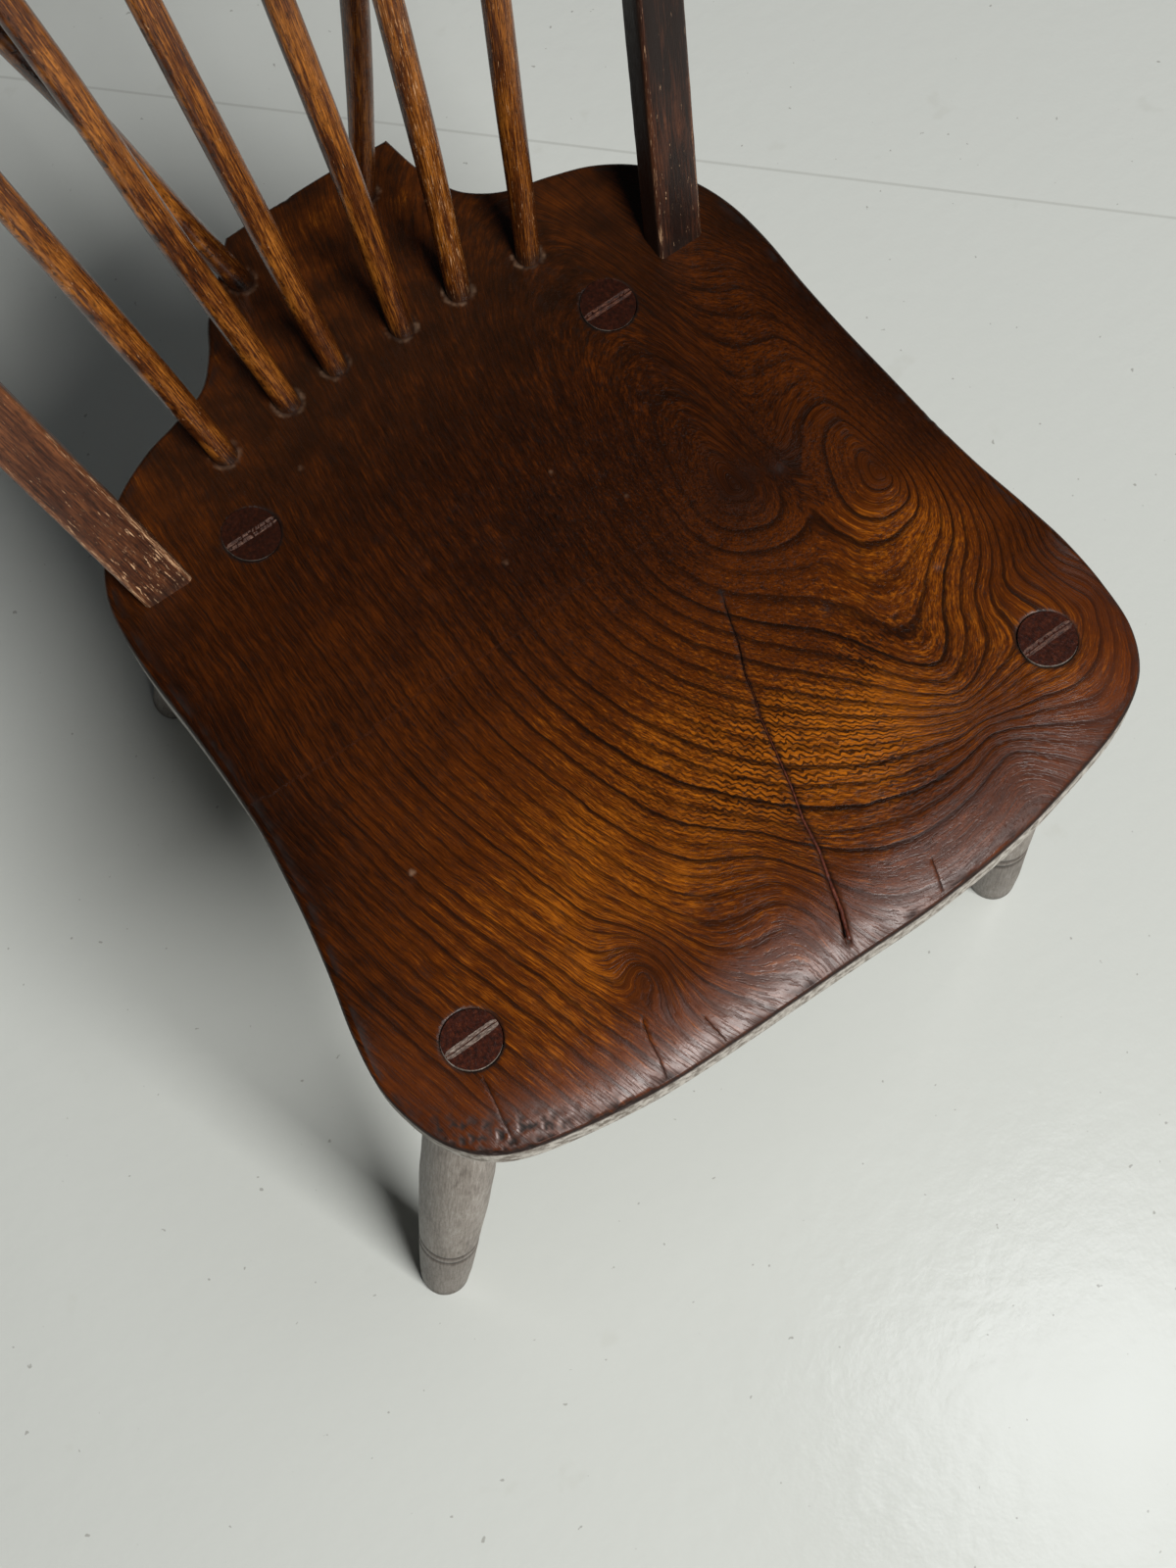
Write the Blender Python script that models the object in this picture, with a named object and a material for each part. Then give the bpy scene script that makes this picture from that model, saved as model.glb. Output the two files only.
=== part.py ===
"""English Windsor side chair: solid seat with a bobtail, bent bow, six sticks and two brace sticks.

Metres, +Z up, front of the chair towards -Y, floor at Z = 0. Lengths are written in
millimetres as n * mm. Every wooden piece is one closed body, and touching pieces keep
a fit gap between them.
"""
import math

import bmesh
import bpy
import numpy as np
from mathutils import Matrix, Vector

mm = 0.001
fitGap = 0.3 * mm

seatTop = 440 * mm
seatThick = 34 * mm
edgeFace = 18 * mm            # height of the upright face round the seat's edge
underCut = 15 * mm            # how far the underside is chamfered back
frontRoll = 8 * mm            # radius of the top edge along the front
backRoll = 3.5 * mm           # and round the sides and the back
rollStart = -200 * mm
rollRun = 90 * mm             # the soft front edge fades in over this run
dishDepth = 5 * mm
dishCentre = (4 * mm, -120 * mm)
dishRadii = (150 * mm, 150 * mm)

backLean = 0.337              # rearward run of the back for each unit of height
bowWide = 24 * mm             # in the plane of the bow
bowThick = 15 * mm            # front to back
bowLetIn = 24 * mm
stickBore = 22 * mm           # depth of the stick holes in the seat
bowBore = 11 * mm             # depth of the stick holes in the bow
braceBore = 3 * mm            # how far a brace's end goes past the middle plane of the bow

tenonProud = 0.7 * mm
wedgeThick = 4.2 * mm
wedgeDeep = 20 * mm
crackWide = 2.6 * mm
crackDeep = 9 * mm

# Seat edge seen from above, anticlockwise from the front right corner, hand-cut and
# therefore not quite the same on both sides (mm).
tailRight = (69, 155)
tailLeft = (-23, 156)
seatEdge = [
    (181, -267), (189, -250), (191, -230), (190, -208), (187, -180), (183, -150), (181, -120),
    (180, -90), (179, -60), (179, -30), (180, 0), (178, 26), (171, 48), (158, 68), (140, 82),
    (120, 90), (99, 96), (86, 104), (78, 114), (72, 133), tailRight, (36, 157), (5, 157), tailLeft,
    (-37, 141), (-54, 123), (-64, 107), (-77, 93), (-96, 86), (-116, 80), (-138, 68), (-156, 50),
    (-167, 30), (-171, 8), (-172, -18), (-171, -50), (-171, -80), (-172, -106), (-175, -130),
    (-179, -155), (-184, -179), (-190, -204), (-193, -226), (-191, -244), (-185, -262),
    (-174, -276), (-158, -285), (-130, -292), (-98, -297), (-64, -299), (-30, -300), (4, -301),
    (35, -302), (66, -301), (96, -298), (127, -292), (151, -286), (169, -278)]

# Leg centres where they come through the seat, and where they stand (mm).
legs = {
    "leg_front_left": ((-151, -236), (-212, -221)),
    "leg_front_right": ((152, -238), (195, -222)),
    "leg_rear_left": ((-98, 15), (-146, 184)),
    "leg_rear_right": ((99, 14), (148, 184))}

# Turned leg: distance up the leg from the sole as a share of its length, radius in mm.
legProfile = [
    (0.000, 13.2), (0.006, 13.9), (0.070, 15.2), (0.150, 16.0), (0.204, 16.4), (0.212, 15.3),
    (0.220, 16.4), (0.230, 16.4), (0.238, 15.3), (0.246, 16.6), (0.330, 17.4), (0.440, 18.2),
    (0.550, 18.5), (0.660, 18.1), (0.760, 17.0), (0.850, 15.4), (0.905, 14.2), (1.000, 12.9)]

# Round sticks, left to right: base on the seat and x where each one meets the bow (mm).
sticks = [((-86, 57), -155), ((-48, 62), -110), ((-20, 65), -53),
          ((16, 63), 18), ((48, 63), 84), ((85, 59), 142)]
braces = {"brace_left": ((-30, 130), -135), "brace_right": ((43, 135), 115)}
stickProfile = [(0.0, 5.6), (0.07, 5.8), (0.30, 6.5), (0.60, 6.4), (0.90, 5.4), (1.0, 5.0)]

bowFoot = {"left": (-143.8, 19.7), "right": (145.4, 26.3)}
bowHeight = 466 * mm          # middle of the bow's top above the seat
bowKnee = 215 * mm            # the bow's ends run straight up to here
bowSplay = {"left": 0.21, "right": 0.18}     # outward run of those ends per unit of height
bowShoulder = 112 * mm        # how long the curve keeps the direction of the straight ends
bowCrown = 118 * mm           # reach of the tight curve on each side of the top
crackLine = [(54, -133), (45, -158), (35, -183), (28, -204), (22, -226), (14, -255), (5, -282),
             (-3, -308)]
nailAt = (-12, 143)


# Small tools.
def removeEverything():
    for thing in list(bpy.data.objects):
        bpy.data.objects.remove(thing, do_unlink=True)


def material(name, colour, roughness):
    mat = bpy.data.materials.new(name)
    mat.use_nodes = True
    shader = mat.node_tree.nodes["Principled BSDF"]
    shader.inputs["Base Color"].default_value = (*colour, 1.0)
    shader.inputs["Roughness"].default_value = roughness
    return mat


def solid(name, verts, faces, mat):
    """One closed object with its normals facing out."""
    mesh = bpy.data.meshes.new(name)
    mesh.from_pydata([tuple(v) for v in verts], [], faces)
    bm = bmesh.new()
    bm.from_mesh(mesh)
    bmesh.ops.remove_doubles(bm, verts=bm.verts, dist=1e-6)
    bmesh.ops.recalc_face_normals(bm, faces=bm.faces)
    bm.to_mesh(mesh)
    bm.free()
    thing = bpy.data.objects.new(name, mesh)
    bpy.context.scene.collection.objects.link(thing)
    mesh.materials.append(mat)
    return thing


def smooth(thing, angle=35):
    """Round surfaces shade smooth and real corners stay crisp."""
    thing.data.shade_smooth()
    thing.data.set_sharp_from_angle(angle=math.radians(angle))


def tubeFaces(rings, count):
    """Quads along a stack of rings, with an n-gon on each end."""
    faces = []
    for r in range(rings - 1):
        for k in range(count):
            n = (k + 1) % count
            faces.append((r * count + k, r * count + n, (r + 1) * count + n, (r + 1) * count + k))
    faces.append(tuple(range(count))[::-1])
    faces.append(tuple((rings - 1) * count + k for k in range(count)))
    return faces


def smoothLoop(points, sharp, step):
    """Closed centripetal curve through the points; a sharp point keeps its corner."""
    pts = [Vector((x, y)) for x, y in points]
    count = len(pts)
    loop = []
    for i in range(count):
        a, b, c, d = (pts[(i + k) % count] for k in (-1, 0, 1, 2))
        if tuple(points[i]) in sharp:
            a = b + (b - c)
        if tuple(points[(i + 1) % count]) in sharp:
            d = c + (c - b)
        parts = max(1, round((c - b).length / step))
        for j in range(parts):
            t = j / parts
            loop.append(0.5 * ((2 * b) + (c - a) * t + (2 * a - 5 * b + 4 * c - d) * t * t
                               + (3 * b - a - 3 * c + d) * t ** 3))
    return loop


def turned(name, foot, head, profile, mat, grow=0.0, count=28):
    """A lathe-turned piece between two points: profile holds (share of length, radius in mm)."""
    foot = Vector(foot)
    head = Vector(head)
    axis = (head - foot).normalized()
    side = axis.cross(Vector((0, 1, 0))).normalized()
    front = axis.cross(side)
    verts = []
    for share, radius in profile:
        centre = foot.lerp(head, share)
        for k in range(count):
            turn = 2 * math.pi * k / count
            out = side * math.cos(turn) + front * math.sin(turn)
            verts.append(centre + out * (radius * mm + grow))
    return solid(name, verts, tubeFaces(len(profile), count), mat)


def box(name, size, place, mat, spin=None):
    verts = [Vector((sx * size[0] / 2, sy * size[1] / 2, sz * size[2] / 2))
             for sx in (-1, 1) for sy in (-1, 1) for sz in (-1, 1)]
    turn = spin.to_3x3() if spin else Matrix.Identity(3)
    verts = [turn @ v + Vector(place) for v in verts]
    faces = [(0, 1, 3, 2), (4, 6, 7, 5), (0, 4, 5, 1), (2, 3, 7, 6), (0, 2, 6, 4), (1, 5, 7, 3)]
    return solid(name, verts, faces, mat)


def cut(target, cutter, keep=False):
    """Takes the cutter out of the target with an exact boolean."""
    cutter.hide_render = True
    cutter.display_type = "WIRE"
    mod = target.modifiers.new("cut", "BOOLEAN")
    mod.operation = "DIFFERENCE"
    mod.solver = "EXACT"
    mod.object = cutter
    graph = bpy.context.evaluated_depsgraph_get()
    mesh = bpy.data.meshes.new_from_object(target.evaluated_get(graph))
    target.modifiers.clear()
    old = target.data
    target.data = mesh
    bpy.data.meshes.remove(old)
    if not keep:
        bpy.data.objects.remove(cutter, do_unlink=True)


def trimBelow(target, height):
    """Cuts everything under a height away and closes the cut flat."""
    bm = bmesh.new()
    bm.from_mesh(target.data)
    geom = bm.verts[:] + bm.edges[:] + bm.faces[:]
    done = bmesh.ops.bisect_plane(bm, geom=geom, plane_co=(0, 0, height), plane_no=(0, 0, 1),
                                  clear_inner=True)
    rim = [e for e in done["geom_cut"] if isinstance(e, bmesh.types.BMEdge)]
    bmesh.ops.contextual_create(bm, geom=rim)
    bmesh.ops.recalc_face_normals(bm, faces=bm.faces)
    bm.to_mesh(target.data)
    bm.free()


# The seat.
def dish(x, y):
    """How far the hollowed sitting part lies below the flat top at a place."""
    reach = math.hypot((x - dishCentre[0]) / dishRadii[0], (y - dishCentre[1]) / dishRadii[1])
    if reach >= 1:
        return 0.0
    fall = 0.5 + 0.5 * math.cos(math.pi * reach)
    return dishDepth * fall


def roll(y):
    """Radius of the rounded top edge: worn soft at the front, crisper towards the back."""
    share = min(1.0, max(0.0, (rollStart - y) / rollRun))
    return backRoll + (frontRoll - backRoll) * share


def makeSeat(mat):
    loop = smoothLoop([(x * mm, y * mm) for x, y in seatEdge],
                      {(x * mm, y * mm) for x, y in (tailRight, tailLeft)}, 9 * mm)
    count = len(loop)
    inward = []
    for k in range(count):
        along = (loop[(k + 1) % count] - loop[k - 1]).normalized()
        inward.append(Vector((-along.y, along.x)))
    hub = Vector((2 * mm, -84 * mm))
    rings = [[(*(loop[k] + inward[k] * underCut), seatTop - seatThick) for k in range(count)],
             [(*loop[k], seatTop - edgeFace - roll(loop[k].y)) for k in range(count)]]
    for turn in (0, 30, 60, 90):
        ring = []
        for k in range(count):
            r = roll(loop[k].y)
            flat = loop[k] + inward[k] * r * (1 - math.cos(math.radians(turn)))
            ring.append((*flat, seatTop - r * (1 - math.sin(math.radians(turn)))))
        rings.append(ring)
    for share in (0.90, 0.80, 0.68, 0.55, 0.42, 0.28, 0.14):
        ring = []
        for k in range(count):
            edge = Vector(rings[5][k][:2])
            flat = hub + (edge - hub) * share
            ring.append((*flat, seatTop - dish(*flat)))
        rings.append(ring)
    verts = [v for ring in rings for v in ring]
    return solid("seat", verts, tubeFaces(len(rings), count), mat)


def topAt(x, y):
    return seatTop - dish(x, y)


# Legs and their wedges.
def legEnds(name):
    (hx, hy), (fx, fy) = legs[name]
    head = Vector((hx * mm, hy * mm, 0))
    head.z = topAt(head.x, head.y) + tenonProud
    foot = Vector((fx * mm, fy * mm, 0))
    return foot, head


def legTool(name, label, grow, mat):
    foot, head = legEnds(name)
    axis = (head - foot).normalized()
    # The profile runs on past both ends, so that the trims leave clean level faces.
    below = [(-0.03, legProfile[0][1])] + [p for p in legProfile if p[0] > 0]
    span = (head - foot).length
    above = [(1.0 + 6 * mm / span, legProfile[-1][1])]
    return turned(label, foot, foot + axis * span, below + above, mat, grow)


def makeLeg(name, mat):
    leg = legTool(name, name, 0.0, mat)
    trimBelow(leg, 0.0)
    foot, head = legEnds(name)
    lid = box("lid", (60 * mm, 60 * mm, 20 * mm), head + Vector((0, 0, 10 * mm)), mat)
    cut(leg, lid)
    kerf = wedgeSolid("kerf", name, fitGap, mat)
    cut(leg, kerf)
    return leg


def wedgeSolid(label, name, grow, mat):
    """Tapered slip of wood driven into the tenon across the chair, or with growth its kerf."""
    foot, head = legEnds(name)
    down = (foot - head).normalized()
    reach = legProfile[-1][1] * mm + 1.2 * mm + grow
    over = 0.1 if grow else 0.0
    under = grow / wedgeDeep
    verts = []
    for share in (1.0 + under, -over):
        centre = head + down * wedgeDeep * share
        half = 0.5 * mm + (wedgeThick / 2 - 0.5 * mm) * (1 - share) + grow
        for sx, sy in ((-1, -1), (1, -1), (1, 1), (-1, 1)):
            verts.append(centre + Vector((sx * reach, sy * half, 0)))
    return solid(label, verts, tubeFaces(2, 4), mat)


def makeWedge(name, mat):
    """The wedge is trimmed to the round of its tenon, so it fills the kerf and no more."""
    label = name.replace("leg", "wedge")
    wedge = wedgeSolid(label, name, 0.0, mat)
    foot, head = legEnds(name)
    axis = (head - foot).normalized()
    keep = turned("keep", head - axis * 40 * mm, head + axis * 10 * mm,
                  [(0.0, legProfile[-1][1] - 0.1), (1.0, legProfile[-1][1] - 0.1)], mat)
    mod = wedge.modifiers.new("trim", "BOOLEAN")
    mod.operation = "INTERSECT"
    mod.solver = "EXACT"
    mod.object = keep
    graph = bpy.context.evaluated_depsgraph_get()
    mesh = bpy.data.meshes.new_from_object(wedge.evaluated_get(graph))
    wedge.modifiers.clear()
    wedge.data = mesh
    bpy.data.objects.remove(keep, do_unlink=True)
    return wedge


# The bow, the sticks and the braces.
backSlant = math.atan(backLean)
bowUp = Vector((0, math.sin(backSlant), math.cos(backSlant)))
bowBack = Vector((0, math.cos(backSlant), -math.sin(backSlant)))


def bowPath():
    """Centre line of the bow as (x, height above the seat), left foot to right foot."""
    half = []
    top = bowHeight
    for side in ("right", "left"):
        sign = 1 if side == "right" else -1
        x0 = abs(bowFoot[side][0]) * mm
        splay = bowSplay[side]
        start = Vector((x0 - splay * bowLetIn, -bowLetIn))
        knee = Vector((x0 + splay * bowKnee, bowKnee))
        a = knee + Vector((splay, 1.0)) * bowShoulder
        b = Vector((bowCrown, top))
        end = Vector((0, top))
        run = [start.lerp(knee, t / 8) for t in range(8)]
        for j in range(25):
            t = j / 24
            run.append(knee * (1 - t) ** 3 + a * 3 * t * (1 - t) ** 2 + b * 3 * t * t * (1 - t)
                       + end * t ** 3)
        half.append([(sign * p.x, p.y) for p in run])
    return half[1][:-1] + half[0][::-1]


def bowPoint(x, height):
    """A point of the bow's middle plane, with the small twist between its two feet."""
    share = (x / mm - bowFoot["left"][0]) / (bowFoot["right"][0] - bowFoot["left"][0])
    y = (bowFoot["left"][1] + share * (bowFoot["right"][1] - bowFoot["left"][1])) * mm
    return Vector((x, y + backLean * height, seatTop + height))


def makeBow(label, grow, mat):
    path = [bowPoint(x, h) for x, h in bowPath()]
    verts = []
    ease = 2.0 * mm
    half = bowWide / 2 + grow
    deep = bowThick / 2 + grow
    section = [(-half, -deep + ease), (-half + ease, -deep), (half - ease, -deep),
               (half, -deep + ease), (half, deep - ease), (half - ease, deep),
               (-half + ease, deep), (-half, deep - ease)]
    for i, p in enumerate(path):
        ahead = path[min(i + 1, len(path) - 1)] - path[max(i - 1, 0)]
        out = ahead.normalized().cross(bowBack).normalized()
        for u, v in section:
            verts.append(p + out * u + bowBack * v)
    return solid(label, verts, tubeFaces(len(path), len(section)), mat)


def bowHeightAt(x):
    """Height above the seat at which the upper half of the bow passes over an x."""
    upper = [p for p in bowPath() if p[1] > bowKnee + 15 * mm]
    xs = [p[0] for p in upper]
    return float(np.interp(x, xs, [p[1] for p in upper]))


def stickEnds(base, xTop):
    """Bottom of the hole in the seat, and the place where the axis reaches the bow's middle."""
    foot = Vector((base[0] * mm, base[1] * mm, 0))
    foot.z = topAt(foot.x, foot.y)
    head = bowPoint(xTop * mm, bowHeightAt(xTop * mm))
    axis = (head - foot).normalized()
    return foot - axis * stickBore, head, axis


def makeStick(name, base, xTop, past, mat, grow=0.0):
    foot, head, axis = stickEnds(base, xTop)
    extra = 0.4 * mm if grow else 0.0
    return turned(name, foot - axis * extra, head + axis * (past + extra), stickProfile, mat,
                  grow, 20)


# The crack filler and the nail.
def crackSolid(label, grow, mat):
    """Filler in the long crack, or with some growth the crack itself, open at the front edge."""
    line = [Vector((x * mm, y * mm)) for x, y in crackLine]
    if not grow:
        line[-1] = line[-2].lerp(line[-1], 0.4)
    count = len(line)
    verts = []
    for i, p in enumerate(line):
        along = (line[min(i + 1, count - 1)] - line[max(i - 1, 0)]).normalized()
        side = Vector((-along.y, along.x)) * (crackWide / 2 * (0.3 + 0.7 * i / (count - 1)) + grow)
        if i in (0, count - 1):
            p = p + along * grow * (-1 if i == 0 else 1)
        low = topAt(p.x, p.y) - crackDeep - grow
        high = topAt(p.x, p.y) + (3 * mm if grow else -0.4 * mm)
        for flat, z in ((p - side, low), (p + side, low), (p + side, high), (p - side, high)):
            verts.append((*flat, z))
    return solid(label, verts, tubeFaces(count, 4), mat)


def makeNail(grow, mat):
    x, y = nailAt[0] * mm, nailAt[1] * mm
    z = topAt(x, y)
    shank = 0.9 * mm + grow
    if grow:
        rows = [(z - 15 * mm - grow, shank), (z + 3 * mm, shank)]
    else:
        rows = [(z - 15 * mm, 0.3 * mm), (z - 12 * mm, shank), (z + 0.3 * mm, shank),
                (z + 0.3 * mm, 2.1 * mm), (z + 1.0 * mm, 1.7 * mm), (z + 1.2 * mm, 0.8 * mm)]
    count = 14
    verts = [Vector((x + r * math.cos(2 * math.pi * k / count),
                     y + r * math.sin(2 * math.pi * k / count), h))
             for h, r in rows for k in range(count)]
    return solid("nail", verts, tubeFaces(len(rows), count), mat)


# Putting it together.
def build():
    removeEverything()
    elm = material("seat_elm", (0.18, 0.075, 0.03), 0.35)
    turnedWood = material("leg_wood", (0.25, 0.20, 0.17), 0.55)
    bowWood = material("bow_wood", (0.14, 0.07, 0.04), 0.45)
    stickWood = material("stick_wood", (0.30, 0.14, 0.05), 0.40)
    wedgeWood = material("wedge_wood", (0.35, 0.28, 0.24), 0.70)
    filler = material("crack_filler", (0.16, 0.06, 0.04), 0.60)
    iron = material("nail_iron", (0.45, 0.43, 0.40), 0.40)

    seat = makeSeat(elm)
    for name in legs:
        cut(seat, legTool(name, "mortise", fitGap, elm))
        makeLeg(name, turnedWood)
        makeWedge(name, wedgeWood)

    bow = makeBow("bow", 0.0, bowWood)
    cut(seat, makeBow("bow_mortise", fitGap, elm))
    past = bowBore - bowWide / 2
    rods = {f"stick_{k + 1}": (base, xTop, past) for k, (base, xTop) in enumerate(sticks)}
    rods.update({name: (base, xTop, braceBore) for name, (base, xTop) in braces.items()})
    for name, (base, xTop, over) in rods.items():
        makeStick(name, base, xTop, over, stickWood)
        hole = makeStick("hole", base, xTop, over, elm, fitGap)
        cut(seat, hole, keep=True)
        cut(bow, hole)

    crackSolid("crack_filler", 0.0, filler)
    cut(seat, crackSolid("crack", fitGap, elm))
    makeNail(0.0, iron)
    cut(seat, makeNail(fitGap, elm))
    centreFrame()


def centreFrame():
    """Moves the whole chair so that the middle of its box stands over the origin."""
    pieces = list(bpy.data.objects)
    for p in pieces:
        smooth(p)
    spots = np.array([v.co[:] for p in pieces for v in p.data.vertices])
    middle = (spots.min(axis=0) + spots.max(axis=0)) / 2
    shift = Vector((-middle[0], -middle[1], 0.0))
    for p in pieces:
        p.data.transform(Matrix.Translation(shift))
        p.data.update()
    print("moved by", [round(v, 5) for v in shift], "box", spots.min(axis=0), spots.max(axis=0))


build()
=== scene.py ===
import math
import random

import bmesh
import bpy
import numpy as np
from mathutils import Euler, Matrix, Vector, noise
from mathutils.geometry import delaunay_2d_cdt
from mathutils.kdtree import KDTree


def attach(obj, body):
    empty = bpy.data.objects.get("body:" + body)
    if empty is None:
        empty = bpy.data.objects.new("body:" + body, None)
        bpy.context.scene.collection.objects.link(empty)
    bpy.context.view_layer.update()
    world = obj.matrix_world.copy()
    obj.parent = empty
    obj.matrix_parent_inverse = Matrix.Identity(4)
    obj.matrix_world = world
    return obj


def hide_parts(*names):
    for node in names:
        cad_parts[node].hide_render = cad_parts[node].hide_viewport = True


mm = 0.001
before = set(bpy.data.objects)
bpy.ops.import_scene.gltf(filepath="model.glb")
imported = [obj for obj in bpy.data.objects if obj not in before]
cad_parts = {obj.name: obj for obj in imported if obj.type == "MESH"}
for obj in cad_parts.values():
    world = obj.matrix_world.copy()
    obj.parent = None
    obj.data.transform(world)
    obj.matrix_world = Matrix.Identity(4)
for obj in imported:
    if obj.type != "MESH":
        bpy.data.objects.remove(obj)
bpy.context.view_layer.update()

# The chair is drawn round the seat's own middle and then moved to stand over the frame's origin.
chairShift = Vector((0.00852, 0.05173, 0.0))
grainShift = 31.0    # mm of grain between one bar's seed and the next, so no two look alike


# Small tools.

def smoothstep(low, high, x):
    t = np.clip((x - low) / (high - low), 0.0, 1.0)
    return t * t * (3 - 2 * t)


# Soft noise between about -1 and 1 at many places; scale in mm.
def ripple(x, y, scale, seed, depth=1):
    out = np.empty(len(x))
    for i in range(len(x)):
        out[i] = noise.fractal((x[i] / scale, y[i] / scale, seed), 1.0, 2.0, depth)
    return out


# Closed curve through the points; a sharp point keeps its corner.
def smoothLoop(points, sharp, step):
    pts = [Vector(p) for p in points]
    count = len(pts)
    loop = []
    for i in range(count):
        a, b, c, d = (pts[(i + k) % count] for k in (-1, 0, 1, 2))
        if points[i] in sharp:
            a = b + (b - c)
        if points[(i + 1) % count] in sharp:
            d = c + (c - b)
        parts = max(1, round((c - b).length / step))
        for j in range(parts):
            t = j / parts
            loop.append(0.5 * ((2 * b) + (c - a) * t + (2 * a - 5 * b + 4 * c - d) * t * t
                               + (3 * b - a - 3 * c + d) * t ** 3))
    return np.array([(p.x, p.y) for p in loop])


# Even-odd test of many points against one closed loop.
def insideLoop(x, y, loop):
    inside = np.zeros(len(x), bool)
    ax, ay = loop[:, 0], loop[:, 1]
    bx, by = np.roll(ax, -1), np.roll(ay, -1)
    for i in range(len(loop)):
        if ay[i] == by[i]:
            continue
        crossing = (ay[i] > y) != (by[i] > y)
        reach = (bx[i] - ax[i]) * (y - ay[i]) / (by[i] - ay[i]) + ax[i]
        inside ^= crossing & (x < reach)
    return inside


def makeObject(name, verts, faces, mat, smooth=True):
    mesh = bpy.data.meshes.new(name)
    mesh.from_pydata([tuple(v) for v in verts], [], faces)
    mesh.update()
    if smooth:
        mesh.shade_smooth()
    piece = bpy.data.objects.new(name, mesh)
    bpy.context.scene.collection.objects.link(piece)
    mesh.materials.append(mat)
    return piece


# Faces of a tube whose rows are closed loops of the same number of points, both ends shut.
def tubeFaces(rows, count, flip=False):
    faces = []
    for r in range(rows - 1):
        for k in range(count):
            a, b = r * count + k, r * count + (k + 1) % count
            faces.append((a, a + count, b + count, b) if flip else (a, b, b + count, a + count))
    first, last = tuple(range(count)), tuple(range((rows - 1) * count, rows * count))
    return faces + ([first, last[::-1]] if flip else [first[::-1], last])


def pointTree(points):
    tree = KDTree(len(points))
    for i, (x, y) in enumerate(points):
        tree.insert((x, y, 0), i)
    tree.balance()
    return tree


def distanceTo(tree, x, y):
    return np.array([tree.find((a, b, 0))[2] for a, b in zip(x, y)])


# 1 at the place, fading to nothing around it.
def nearTo(x, y, place, reach):
    return np.exp(-((x - place[0]) ** 2 + (y - place[1]) ** 2) / reach ** 2)


def setAttribute(piece, name, values):
    data = piece.data.attributes.new(name, "FLOAT", "POINT")
    data.data.foreach_set("value", np.asarray(values, dtype=np.float32))


def finishPiece(piece, node):
    piece.data.transform(Matrix.Translation(chairShift))
    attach(piece, "root")
    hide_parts(node)


# Materials.

# Short calls for building a node tree.
class NodeKit:
    def __init__(self, tree):
        self.nodes = tree.nodes
        self.links = tree.links

    def put(self, socket, value):
        if isinstance(value, bpy.types.NodeSocket):
            self.links.new(value, socket)
        else:
            socket.default_value = value

    def add(self, kind, inputs=None, **settings):
        node = self.nodes.new(kind)
        for name, value in settings.items():
            setattr(node, name, value)
        for name, value in (inputs or {}).items():
            self.put(node.inputs[name], value)
        return node

    def math(self, kind, a, b=0.0, c=0.0):
        return self.add("ShaderNodeMath", {0: a, 1: b, 2: c}, operation=kind).outputs[0]


class Shader(NodeKit):
    def __init__(self, name):
        self.mat = bpy.data.materials.new(name)
        self.mat.use_nodes = True
        super().__init__(self.mat.node_tree)
        self.surface = self.nodes["Principled BSDF"]

    def set(self, **values):
        for name, value in values.items():
            self.put(self.surface.inputs[name.replace("_", " ")], value)

    def attribute(self, name):
        return self.add("ShaderNodeAttribute", attribute_name=name).outputs["Fac"]

    def place(self):
        return self.add("ShaderNodeTexCoord").outputs["Object"]

    def axes(self, vector):
        return self.add("ShaderNodeSeparateXYZ", {0: vector}).outputs

    def vector(self, x, y, z=0.0):
        return self.add("ShaderNodeCombineXYZ", {0: x, 1: y, 2: z}).outputs[0]

    def stretch(self, vector, scale):
        return self.add("ShaderNodeVectorMath", {0: vector, 1: scale},
                        operation="MULTIPLY").outputs[0]

    def noise(self, vector, scale, detail=3.0, rough=0.5, distortion=0.0):
        return self.add("ShaderNodeTexNoise",
                        {"Vector": vector, "Scale": scale, "Detail": detail,
                         "Roughness": rough, "Distortion": distortion}).outputs["Fac"]

    def ramp(self, fac, stops):
        node = self.add("ShaderNodeValToRGB", {0: fac})
        ends = node.color_ramp.elements
        while len(ends) < len(stops):
            ends.new(0.5)
        for end, (position, colour) in zip(ends, stops):
            end.position = position
            end.color = (*colour, 1.0)
        return node.outputs["Color"]

    def grade(self, fac, low, high, outLow=0.0, outHigh=1.0):
        return self.add("ShaderNodeMapRange", {0: fac, 1: low, 2: high, 3: outLow, 4: outHigh},
                        interpolation_type="SMOOTHSTEP").outputs[0]

    def mix(self, fac, a, b):
        a, b = ((*value, 1.0) if isinstance(value, tuple) else value for value in (a, b))
        return self.add("ShaderNodeMix", {0: fac, 6: a, 7: b}, data_type="RGBA").outputs[2]

    def bump(self, height, strength, distance):
        return self.add("ShaderNodeBump", {"Height": height, "Strength": strength,
                                           "Distance": distance}).outputs[0]


# A colour given as it looks on screen, 0 to 255, for the shader's linear sockets.
def rgb(r, g, b):
    return tuple(((c / 255 + 0.055) / 1.055) ** 2.4 if c > 10 else c / 255 / 12.92
                 for c in (r, g, b))


seatLook = {
    "darkest": rgb(18, 6, 2),
    "dark": rgb(43, 17, 3),
    "middle": rgb(84, 38, 5),
    "golden": rgb(182, 102, 18),
    "ring": rgb(20, 8, 3),
    "gloss": 0.25,
}


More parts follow.
